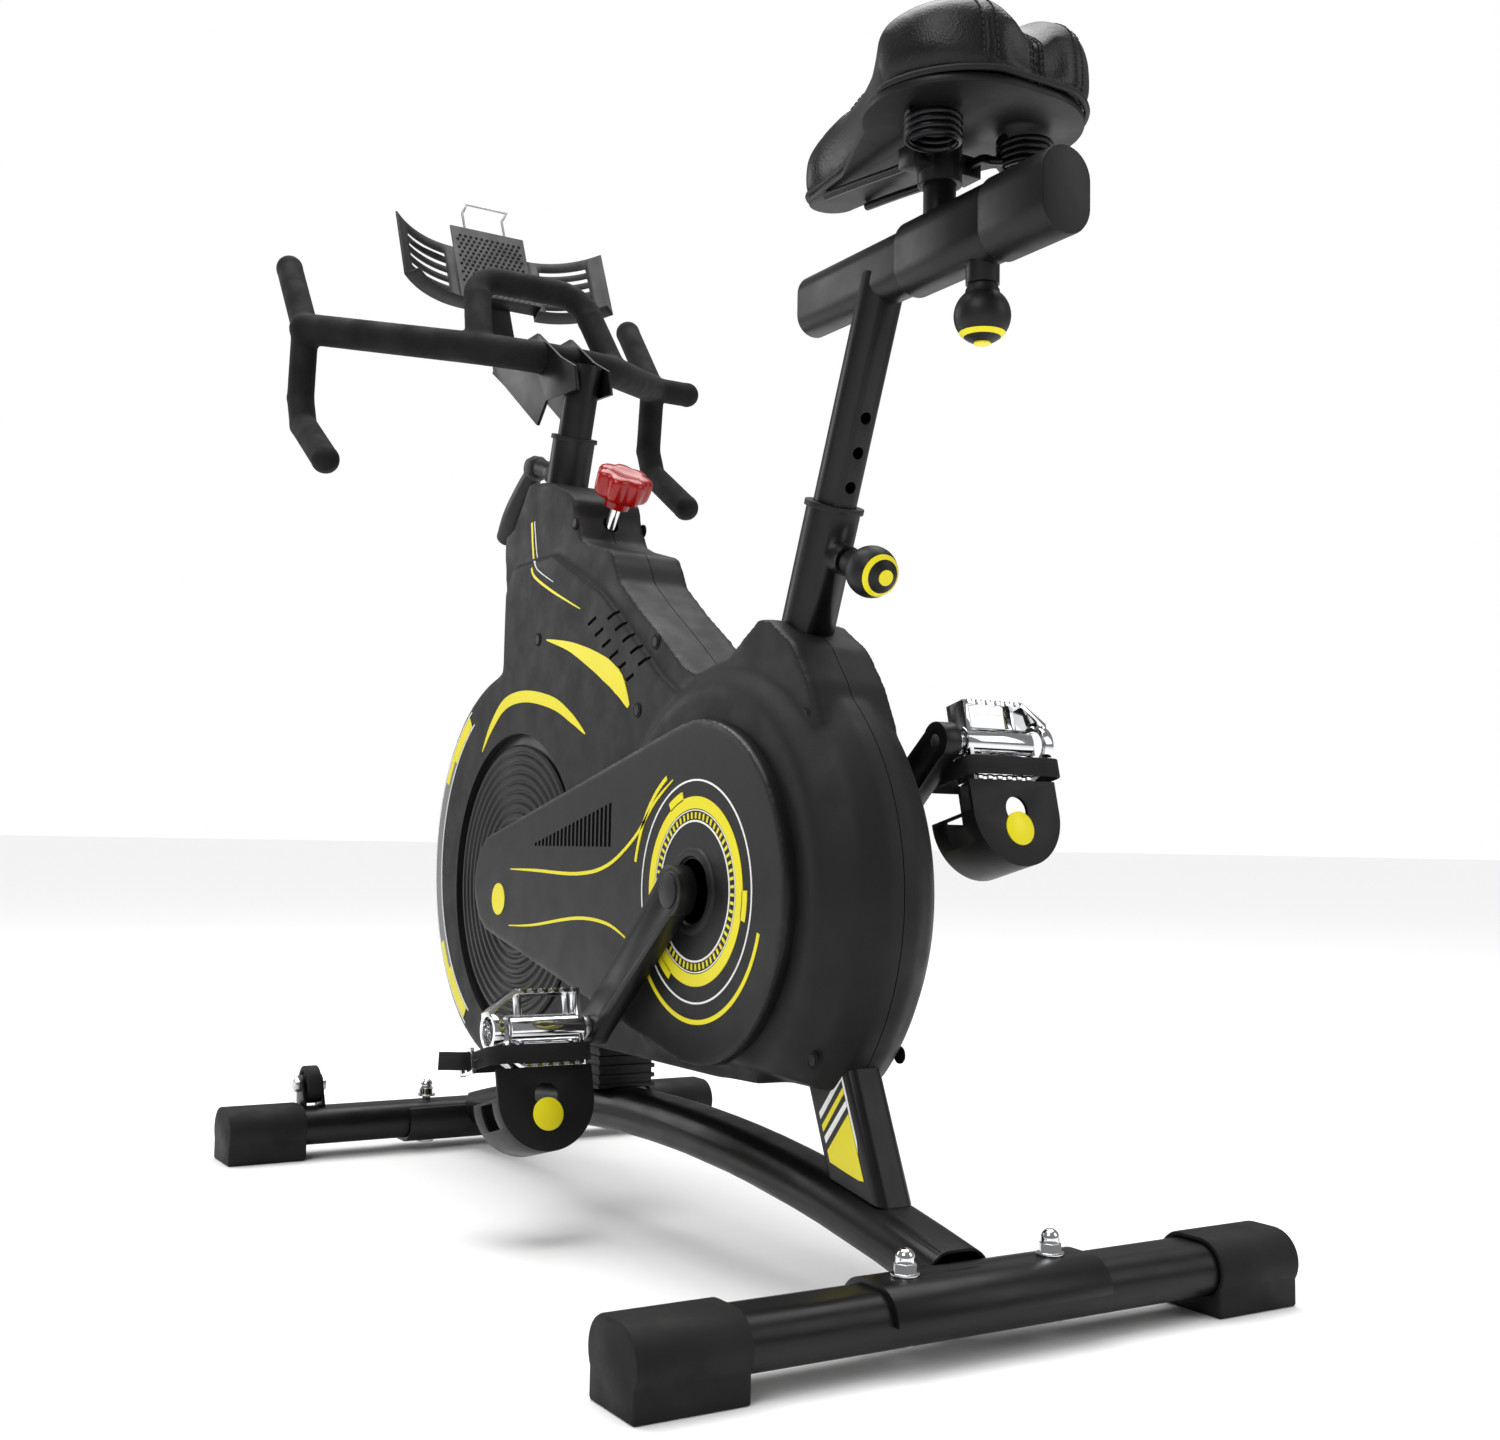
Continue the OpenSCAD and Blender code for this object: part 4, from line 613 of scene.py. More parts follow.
def louvres(side):
    """Two short columns of slanted vent slots behind the neck."""
    low, high = sorted((side * (SIDE - 5.0), side * 60.0))
    slots = []
    for y0, z0, count in ((-484, 499, 6), (-446, 500, 5)):
        for i in range(count):
            y = y0 + i * 14.5
            z = z0 - i * 11.0
            slots.append(slab([(y - 9, z - 3.6), (y + 7, z + 1.6), (y + 9, z - 1.2), (y - 7, z - 6.4)], low, high))
    return slots


class BIKE_OT_covers(bpy.types.Operator):
    """Belt covers, flywheel discs and the closed recess behind them"""
    bl_idname = "bike.covers"
    bl_label = "Covers and discs"

    def execute(self, context):
        discs, covers = [], []
        for side in (1, -1):
            tag = "left" if side > 0 else "right"
            rim = [(31, 34), (33, 38), (35.5, 48), (36, 56)]
            for r in range(60, 124, 9):
                rim += [(36, r), (38.2, r + 2), (38.2, r + 5), (36, r + 7)]
            rim += [(36, 126), (33.5, 130), (33.2, 139.6), (31, 139.6)]
            v, f = lathe([(x / 1000 * side, r / 1000) for x, r in rim], place(0, *FLY), (1, 0, 0), 128)
            discs.append(solid("flywheel_disc_" + tag, v, f, "abs_satin", "frame", "cover_plastic", 40))
            low, high = sorted((side * 36.0, side * 59.6))
            cover = mould("belt_cover_" + tag, [slab(teardrop(46.6, 127.6), low, high)], 0.0022, 10)
            low, high = sorted((side * 20.0, side * 70.0))
            carve(cover, [loose_object("bore", *drum_solid(CRANK, [(low, 24), (high, 24)])),
                          loose_object("grille", *join_geometry(grille(side)))])
            covers.append(settle(cover, "abs_satin", "frame", "cover_plastic", 30))
            bead = lathe([(side * 0.0592, 0.0245), (side * 0.0612, 0.026), (side * 0.0618, 0.029),
                          (side * 0.0612, 0.032), (side * 0.0592, 0.0335)], place(0, *CRANK), (1, 0, 0), 64)
            solid("crank_seal_ring_" + tag, *bead, "nylon", "frame", "cover_plastic", 40)
        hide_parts("side_covers")
        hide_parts("flywheel_covers")
        return {"FINISHED"}


def grille(side):
    """Upright vent slots whose ends follow a long triangle."""
    low, high = sorted((side * 56.4, side * 64.0))
    slots = []
    for i in range(20):
        y = -546 + i * 7.6
        top = 303 + (y + 555) * 0.229
        low_z = 301.5 + (y + 555) * 0.004
        slots.append(slab([(y - 2.2, low_z), (y + 2.2, low_z), (y + 2.2, top), (y - 2.2, top - 1)], low, high))
    return slots


def teardrop(r_small, r_big):
    """The belt cover's outline: two round ends with tangent sides."""
    dy, dz = CRANK[0] - FLY[0], CRANK[1] - FLY[1]
    run, slope = math.hypot(dy, dz), math.atan2(dz, dy)
    lean = math.asin((r_big - r_small) / run)
    a0 = slope + math.pi / 2 + lean
    a1 = slope - math.pi / 2 - lean
    out = []
    for k in range(49):
        a = a1 + (a0 - a1) * k / 48
        out.append((CRANK[0] + r_big * math.cos(a), CRANK[1] + r_big * math.sin(a)))
    for k in range(33):
        a = a0 + (a1 + 2 * math.pi - a0) * k / 32
        out.append((FLY[0] + r_small * math.cos(a), FLY[1] + r_small * math.sin(a)))
    return out


class BIKE_OT_graphics(bpy.types.Operator):
    """Printed rings, sweeps and blades on the shell, without lettering"""
    bl_idname = "bike.graphics"
    bl_label = "Printed graphics"

    def execute(self, context):
        for side in (1, -1):
            tag = "left" if side > 0 else "right"

            def flat(name, parts, finish, x=59.7, t=0.4):
                low, high = side * (x - 1.2), side * (x + t)
                v, f = join_geometry([p(min(low, high), max(low, high)) for p in parts])
                solid(name + "_" + tag, v, f, finish, "frame", "cover_plastic", 30)

            def ring(r0, r1, a0=0, a1=360, c=(-261, 271)):
                return lambda x0, x1: arc_band(c, r0, r1, a0, a1, x0, x1, 96)

            def line(points, widths):
                return lambda x0, x1: ribbon(points, widths, x0, x1)

            flat("ring_thick", [ring(61, 70)] + [ring(69, 76, a, a + 17) for a in (58, 178, 298)], "yellow")
            flat("ring_arc", [ring(94, 97.5, 196, 325), ring(94, 97.5, 12, 62)], "yellow")
            flat("ring_white", [ring(81.4, 82.8), ring(51, 52.4), ring(59.4, 60.2)], "white")
            flat("ring_ticks", [ring(53.4, 58.2, k * 6, k * 6 + 2.2) for k in range(60)], "yellow")
            flat("line_top", [line([(-600, 280), (-545, 280), (-461, 279), (-404, 287), (-357, 310), (-325, 337),
                                    (-296, 354)], [0.8, 2.6, 3, 3, 3, 2.6, 1])], "yellow")
            flat("line_low", [line([(-600, 229), (-547, 232), (-459, 242), (-402, 240), (-365, 229)],
                                   [0.8, 2.2, 2.8, 2.6, 1])], "yellow")
            flat("sweep_upper", [line([(-577, 489), (-530, 479), (-490, 466), (-455, 452), (-430, 438),
                                       (-411, 418)], [1, 8, 15, 20, 19, 4])], "yellow", SIDE)
            flat("hub_dot", [ring(0.2, 14.5, c=(-626, 252))], "yellow")
            flat("neck_line_top", [line([(-630, 606), (-624, 572), (-615, 560)], [3.4, 3.2, 3.0])], "yellow", 34.2)
            flat("neck_line", [line([(-615, 560), (-606, 550), (-566, 532), (-508, 510)], [3.0, 2.8, 2.4, 0.8])],
                 "yellow", SIDE)
            flat("neck_edge_top", [line([(-624, 606), (-617, 575), (-610, 566)], [1.2, 1.1, 1.1])], "white", 34.2)
            flat("neck_edge", [line([(-610, 566), (-600, 556), (-566, 541)], [1.1, 1.0, 0.5])], "white", SIDE)
            flat("side_band", [ring(164, 178, -58, 56, DRUM)], "grey", SIDE)
            flat("side_blades", [ring(165, 177, -58, -38, DRUM), ring(170, 177, -38, -27, DRUM),
                                 ring(165, 177, 38, 56, DRUM), ring(170, 177, 28, 38, DRUM)], "yellow", SIDE, 0.6)
            flat("side_lines", [ring(163, 164.2, -60, 58, DRUM), ring(177.8, 179, -60, 58, DRUM)], "white", SIDE, 0.6)
            flat("sweep_low", [line([(-722, 392), (-700, 416), (-668, 436), (-620, 440), (-560, 430), (-520, 414),
                                     (-492, 399)], [1, 8, 11, 11, 11, 8, 1])], "yellow", SIDE)
        return {"FINISHED"}


def drum_radius(x):
    """The front drum's radius at a distance from the middle, mm."""
    return 197.0 - max(0.0, abs(x) - 18.0) * 13 / 22


def rim_patch(a0, a1, low_x, high_x, lift, m=60):
    """A film on the front drum between two angles; its edges are functions of the share of the arc."""
    verts, faces, rows = [], [], 5
    for k in range(m + 1):
        t = k / m
        a = math.radians(a0 + (a1 - a0) * t)
        for depth in (-1.4, lift):
            for j in range(rows):
                x = low_x(t) + (high_x(t) - low_x(t)) * j / (rows - 1)
                r = drum_radius(x) + depth
                verts.append(place(x, DRUM[0] - r * math.cos(a), DRUM[1] + r * math.sin(a)))
    loop = list(range(rows)) + list(range(2 * rows - 1, rows - 1, -1))
    for k in range(m):
        base = k * 2 * rows
        for j in range(2 * rows):
            a, b = loop[j], loop[(j + 1) % (2 * rows)]
            faces.append((base + a, base + b, base + 2 * rows + b, base + 2 * rows + a))
    faces.append(tuple(loop))
    faces.append(tuple(m * 2 * rows + i for i in reversed(loop)))
    return verts, faces


class BIKE_OT_rim_band(bpy.types.Operator):
    """Printed grey bands with accent blades on both slopes of the front drum"""
    bl_idname = "bike.rim_band"
    bl_label = "Rim bands"

    def execute(self, context):
        bands, blades, lines = [], [], []
        for s in (1, -1):
            bands.append(rim_patch(-58, 56, lambda t: s * 20, lambda t: s * 38, 0.3))
            for a0, a1, w0, w1 in ((-57, -30, 22, 37), (-34, -18, 30, 37), (30, 55, 22, 37)):
                blades.append(rim_patch(a0, a1, lambda t: s * (w0 + 7 * t),
                                        lambda t: s * (w1 - 8 * t * t + 0.2), 0.5, 30))
            for x in (19.2, 38.2):
                lines.append(rim_patch(-60, 58, lambda t: s * (x - 0.5), lambda t: s * (x + 0.5), 0.5))
        solid("rim_band", *join_geometry(bands), "grey", "frame", "shell_plastic", 40)
        solid("rim_blades", *join_geometry(blades), "yellow", "frame", "shell_plastic", 40)
        solid("rim_lines", *join_geometry(lines), "white", "frame", "shell_plastic", 40)
        return {"FINISHED"}


# ---------------------------------------------------------------- carried-over parts

# Node, finish and edge radius in mm for parts whose CAD shape only wants softened edges
DRESSED = [
    ("arch_beam", "powder_coat", 0.8), ("rear_leg", "powder_coat", 0.8), ("seat_tube", "powder_coat", 0),
    ("head_tube", "powder_coat", 0), ("bottom_bracket", "powder_coat", 0), ("flywheel_fork", "powder_coat", 0),
    ("mid_upright", "powder_coat", 0), ("upright_cover", "nylon", 1.0), ("stabilisers", "powder_coat", 0),
    ("front_sleeve", "powder_coat", 0.6), ("feet", "rubber", 4.5), ("stabiliser_bolts", "chrome", 0.5),
    ("bushings", "nylon", 0.8), ("wheel_brackets", "powder_coat", 0.5), ("wheel_bolts", "steel", 0.4),
    ("wheel_left", "rubber", 0.8), ("wheel_right", "rubber", 0.8), ("bearings", "steel", 0),
    ("flywheel_axle", "steel", 0), ("flywheel", "iron", 0), ("flywheel_pulley", "iron", 0),
    ("drive_belt", "rubber", 0), ("crank_axle", "steel", 0), ("crank_pulley", "nylon", 0),
    ("cranks", "powder_coat", 1.2), ("crank_caps", "nylon", 0.8), ("pedal_spindles", "steel", 0.4),
    ("pedal_left", "chrome", 0.4), ("pedal_right", "chrome", 0.4), ("toe_clip_left", "nylon", 0.6),
    ("toe_clip_right", "nylon", 0.6),
    ("pedal_hardware_left", "chrome", 0.3), ("pedal_hardware_right", "chrome", 0.3), ("brake_shoe", "rubber", 0),
    ("tension_rod", "chrome", 0.5), ("seat_post", "powder_coat", 0.4),
    ("slide_tube", "powder_coat", 0.8), ("seat_sleeve", "powder_coat", 0.8), ("sleeve_cap", "nylon", 2.0),
    ("saddle_clamp", "powder_coat", 0.8), ("saddle_pan", "nylon", 1.0), ("bar_post", "powder_coat", 0.5),
    ("handlebar", "powder_coat", 0), ("tablet_holder", "nylon", 0.5), ("phone_clip", "steel", 0),
]


class BIKE_OT_frame(bpy.types.Operator):
    """Frame, fittings and running gear with softened edges and their finishes"""
    bl_idname = "bike.frame"
    bl_label = "Frame and fittings"

    def execute(self, context):
        for node, finish, edge in DRESSED:
            dress(node, finish, edge / 1000)
        return {"FINISHED"}


def pedal_place(side):
    """Turns a point of a pedal's own frame (spindle along X, toe towards -Y) into the layout frame, metres."""
    centre = Vector(JOINTS["pedal_turn_" + ("left" if side > 0 else "right")]["pos_m"])
    turn = Matrix.Rotation(math.radians(PEDAL_HANG), 3, "X")

    def at(x, y, z):
        p = turn @ Vector((0, y / 1000, z / 1000))
        return Vector((side * x / 1000, centre.y + p.y, centre.z + p.z))
    return at, turn


PEDAL_HANG = 104.0
CAGE_IN = 89.0
CAGE_OUT = 165.0


class BIKE_OT_straps(bpy.types.Operator):
    """Webbing straps round the pedals, with rounded corners and a curling tail"""
    bl_idname = "bike.straps"
    bl_label = "Pedal straps"

    def execute(self, context):
        for side, tag, tail_z in ((1, "left", 18), (-1, "right", 30)):
            at, turn = pedal_place(side)
            y = -20.0
            x0, x1, z0, z1 = CAGE_IN - 4.8, CAGE_OUT + 4.8, -13.8, 42.6
            path = []
            for cx, cz, a0 in ((x1 - 7, z0 + 7, -90), (x1 - 9, z1 - 9, 0), (x0 + 9, z1 - 9, 90), (x0 + 7, z0 + 7, 180)):
                r = 7 if cz < 0 else 9
                for k in range(7):
                    a = math.radians(a0 + 15 * k)
                    path.append(at(cx + r * math.cos(a), y, cz + r * math.sin(a)))
            flat = rounded_box(0.0019, 0.014, 0.0008, 2)
            across = turn @ Vector((0, 1, 0))
            loop = sweep(path, flat, across, True)
            tail = curve_through([at(x1 + 0.8, y, tail_z + 4), at(x1 + 4, y, tail_z - 1), at(x1 + 12, y, tail_z - 3),
                                  at(x1 + 20, y + 1, tail_z), at(x1 + 27, y + 2, tail_z + 5)], 8)
            end = sweep(tail, flat, across)
            slots = []
            for t in range(5):
                c = at(x1 - 0.2, y, 2 + t * 6)
                slots.append(lathe([(-0.0018, 0.0009), (0.0018, 0.0009)], c, (1, 0, 0), 10))
            body = "pedal_set_" + tag
            solid("strap_web_" + tag, *join_geometry([loop, end]), "webbing", body, "webbing", 40,
                  ("strap_" + tag,))
            solid("strap_eyelets_" + tag, *join_geometry(slots), "steel", body, "bright_steel", 40)
        return {"FINISHED"}


class BIKE_OT_screws(bpy.types.Operator):
    """Screws round the shell and covers, each on a flat disc of unlit black that is painted shade standing in for the
    recess round the screw
    """
    bl_idname = "bike.screws"
    bl_label = "Shell screws"

    def execute(self, context):
        spots = [(-535, 591, 34), (-596, 491, SIDE), (-377, 469, 34), (-289, 420, 34), (-395, 414, SIDE),
                 (-153, 396, 34), (-729, 428, 37), (-151, 273, 47), (-276, 150, 47), (-134, 161, 36),
                 (-821, 268, 36)]
        tree = stud_tree()
        for side, tag in ((1, "left"), (-1, "right")):
            points = [place(side * (x + 0.2), y, z) for y, z, x in spots]
            heads = grown("shell_screws_" + tag, tree, points, [],
                          {"Radius": 0.0040, "Height": 0.0022, "Sides": 24}, "nylon", "frame", "black_plastic")
            # Flat discs of unlit black round each screw head: painted shade of the screw recesses, not cut wells
            well_shade_discs = grown("screw_well_painted_shade_" + tag, tree, points, [],
                          {"Radius": 0.0062, "Height": 0.0012, "Sides": 28}, "dark", "frame", "shell_plastic")
            if side > 0:
                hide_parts("shell_screws")
        return {"FINISHED"}


# ---------------------------------------------------------------- saddle

SADDLE_NOSE = -202.0
SADDLE_TAIL = 54.0
SADDLE_Z = 783.0


def saddle_half_width(y):
    """Half the saddle's width at a layout station, mm."""
    if y > -15:
        return 12 + math.sqrt(max(0.0, 69 ** 2 - (y + 15) ** 2))
    if y < -178:
        return math.sqrt(max(0.0, 24 ** 2 - (y + 178) ** 2))
    return 24 + 57 * ((y + 178) / 163) ** 1.75


def saddle_crown(y):
    """Height of the saddle's top line, mm."""
    line = 832 + 12 * max(0.0, min(1.0, (y + 150) / 150)) ** 1.4
    tail = max(0.0, (y - 8) / 46)
    tip = max(0.0, (-150 - y) / 52)
    return line - 15 * tail ** 2.6 - 22 * tip ** 2


def saddle_shape(inset):
    """A crowned, two-lobed saddle, drawn in by an inset in mm."""
    stations, m = 72, 56
    verts = []
    for i in range(stations + 1):
        t = 0.5 - 0.5 * math.cos(math.pi * i / stations)
        y = SADDLE_NOSE + inset + (SADDLE_TAIL - SADDLE_NOSE - 2 * inset) * t
        half = max(1.0, saddle_half_width(y) - inset)
        top = saddle_crown(y) - inset
        low = SADDLE_Z + inset * 0.6
        belly = low + (top - low) * 0.30
        dip = 22 * max(0.0, min(1.0, (y + 95) / 150)) ** 1.3
        for k in range(m):
            a = 2 * math.pi * k / m
            c, s = math.cos(a), math.sin(a)
            x = half * math.copysign(abs(c) ** (0.72 if s >= 0 else 0.45), c)
            if s >= 0:
                z = belly + (top - belly) * s ** 0.52
                z -= dip * math.exp(-(x / 17) ** 2)
            else:
                z = belly + (low - belly) * min(1, abs(s) * 1.5)
                x *= 1 - 0.03 * abs(s)
            verts.append(place(x, y, z))
    faces = []
    for i in range(stations):
        for k in range(m):
            l = (k + 1) % m
            faces.append((i * m + k, i * m + l, (i + 1) * m + l, (i + 1) * m + k))
    faces.append(tuple(range(m)))
    faces.append(tuple(reversed(range(stations * m, (stations + 1) * m))))
    return verts, faces


def seam_lines():
    """Sewn lines over the saddle as (x, angle) rays from its heart; angle 0 is the tail, 90 the top."""
    rear = [(0.0, a) for a in range(-16, 78, 3)]
    sides = []
    for s in (-1, 1):
        sides.append([(s * (36 - 22 * max(0.0, (a - 60) / 108) ** 0.8), a) for a in range(-12, 169, 3)])
    return [rear] + sides


def on_saddle(tree, x, angle):
    """The point and normal where a ray from outside meets the saddle."""
    heart = place(x, -20, 803)
    out = Vector((0, math.cos(math.radians(angle)), math.sin(math.radians(angle))))
    hit = tree.ray_cast(heart + out * 0.4, -out)
    return hit[0], hit[1]


class BIKE_OT_saddle(bpy.types.Operator):
    """Padded saddle with sewn seams, stitches, wire springs and rails"""
    bl_idname = "bike.saddle"
    bl_label = "Saddle"

    def execute(self, context):
        pad = loose_object("saddle_cushion", *saddle_shape(2.6))
        remesh = pad.modifiers.new("grid", "REMESH")
        remesh.mode = "VOXEL"
        remesh.voxel_size = 0.0045
        apply_modifiers(pad)
        inflate(pad, cap=0.0035)
        fine = pad.modifiers.new("fine", "SUBSURF")
        fine.levels = fine.render_levels = 1
        ease = pad.modifiers.new("ease", "SMOOTH")
        ease.iterations = 4
        apply_modifiers(pad)
        low = place(0, 0, SADDLE_Z + 0.2).z
        for v in pad.data.vertices:
            v.co.z = max(v.co.z, low)
        paths = self.sew(pad)
        settle(pad, "pu_leather", "saddle_set", "saddle_skin", 60, ("saddle_pad",))
        points, edges = [], []
        for path in paths:
            base = len(points)
            points += path
            edges += [(base + i, base + i + 1) for i in range(len(path) - 1)]
        grown("saddle_stitches", stitch_tree(), points, edges,
              {"Pitch": sizes().stitch_pitch, "Thread Radius": 0.0006, "Share": 0.68}, "thread", "saddle_set",
              "saddle_skin")
        skirt = []
        for i in range(96):
            a = math.pi * i / 95
            y = SADDLE_NOSE + 4 + (SADDLE_TAIL - SADDLE_NOSE - 8) * (0.5 - 0.5 * math.cos(a))
            skirt.append((max(2.0, saddle_half_width(y) - 6.5), y))
        loop = [place(x, y, SADDLE_Z + 1.5) for x, y in skirt]
        loop += [place(-x, y, SADDLE_Z + 1.5) for x, y in reversed(skirt)]
        solid("saddle_edge_trim", *sweep(loop, round_section(0.0022, 10), Vector((0, 0, 1)), True), "nylon",
              "saddle_set", "black_plastic")
        self.wires()
        return {"FINISHED"}

    def sew(self, pad):
        """Presses seam channels into the pad and returns the stitch rows."""
        work = bmesh.new()
        work.from_mesh(pad.data)
        work.normal_update()
        finder = BVHTree.FromBMesh(work)
        rows, centres = [], []
        for line in seam_lines():
            dense = []
            for (x0, a0), (x1, a1) in zip(line, line[1:]):
                dense += [(x0 + (x1 - x0) * t / 4, a0 + (a1 - a0) * t / 4) for t in range(4)]
            mid = [on_saddle(finder, x, a) for x, a in dense]
            centres += [p for p, _ in mid if p]
            offsets = (-4.2, 4.2) if line[0][0] else (-5.0, -2.6, 2.6, 5.0)
            for off in offsets:
                row = [on_saddle(finder, x + off, a) for x, a in dense]
                rows.append([p + n * 0.0002 for p, n in row if p])
        tree = KDTree(len(centres))
        for i, p in enumerate(centres):
            tree.insert(p, i)
        tree.balance()
        for v in work.verts:
            d = tree.find(v.co)[2]
            if d < 0.008:
                v.co -= v.normal * 0.0016 * math.exp(-(d / 0.0017) ** 2)
        work.to_mesh(pad.data)
        work.free()
        return rows

    def wires(self):
        """Helical springs and the bent wire rails."""
        made = None
        for side, tag in ((1, "left"), (-1, "right")):
            turns = sizes().spring_turns
            n = turns * 22
            coil = []
            for i in range(n + 1):
                a = 2 * math.pi * turns * i / n
                z = 755 + 18.4 * i / n
                coil.append(place(side * 38 + 16.8 * math.cos(a), -8 + 16.8 * math.sin(a), z))
            solid("saddle_spring_" + tag, *sweep(coil, round_section(0.0025, 10), Vector((0, 0, 1))), "black_steel",
                  "saddle_set", "frame_coat", 60)
            rail = [(18, -160, 774), (18, -120, 770), (18, -72, 764.4), (18, -50, 764), (18, -28, 764.2),
                    (19, -18, 760), (22, -8, 757)]
            bent = curve_through([place(side * x, y, z) for x, y, z in rail], 8)
            made = solid("saddle_rail_" + tag, *sweep(bent, round_section(0.003, 12), Vector((1, 0, 0))), "black_steel",
                         "saddle_set", "frame_coat", 60)
        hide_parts("saddle_wires")


def inflate(piece, cap):
    """Blows a pad up under its cover with a short cloth run and limits how far a point moves."""
    rest = [v.co.copy() for v in piece.data.vertices]
    cloth = piece.modifiers.new("cloth", "CLOTH")
    cloth.settings.quality = 5
    cloth.settings.mass = 0.3
    cloth.settings.tension_stiffness = 15
    cloth.settings.compression_stiffness = 15
    cloth.settings.bending_stiffness = 3
    cloth.settings.use_pressure = True
    cloth.settings.uniform_pressure_force = 4
    cloth.settings.effector_weights.gravity = 0
    cloth.collision_settings.use_collision = False
    scene = bpy.context.scene
    for step in range(1, 21):
        scene.frame_set(step)
    apply_modifiers(piece)
    scene.frame_set(1)
    for v, home in zip(piece.data.vertices, rest):
        move = v.co - home
        if move.length > cap:
            v.co = home + move * (cap / move.length)


# ---------------------------------------------------------------- handlebar, knobs and holder

class BIKE_OT_grips(bpy.types.Operator):
    """Foam sleeves over the handlebar, melted to one soft skin"""
    bl_idname = "bike.grips"
    bl_label = "Foam grips"

    def execute(self, context):
        foam = bpy.data.objects.new("foam_sleeves", NODES["bar_grips"].data.copy())
        bpy.context.collection.objects.link(foam)
        tidy_mesh(foam, 3e-6)
        melt = foam.modifiers.new("melt", "REMESH")
        melt.mode = "VOXEL"
        melt.voxel_size = 0.0023
        ease = foam.modifiers.new("ease", "SMOOTH")
        ease.iterations = 5
        apply_modifiers(foam)
        settle(foam, "foam", "bar_set", "foam", 50, ("bar_grips",))
        return {"FINISHED"}


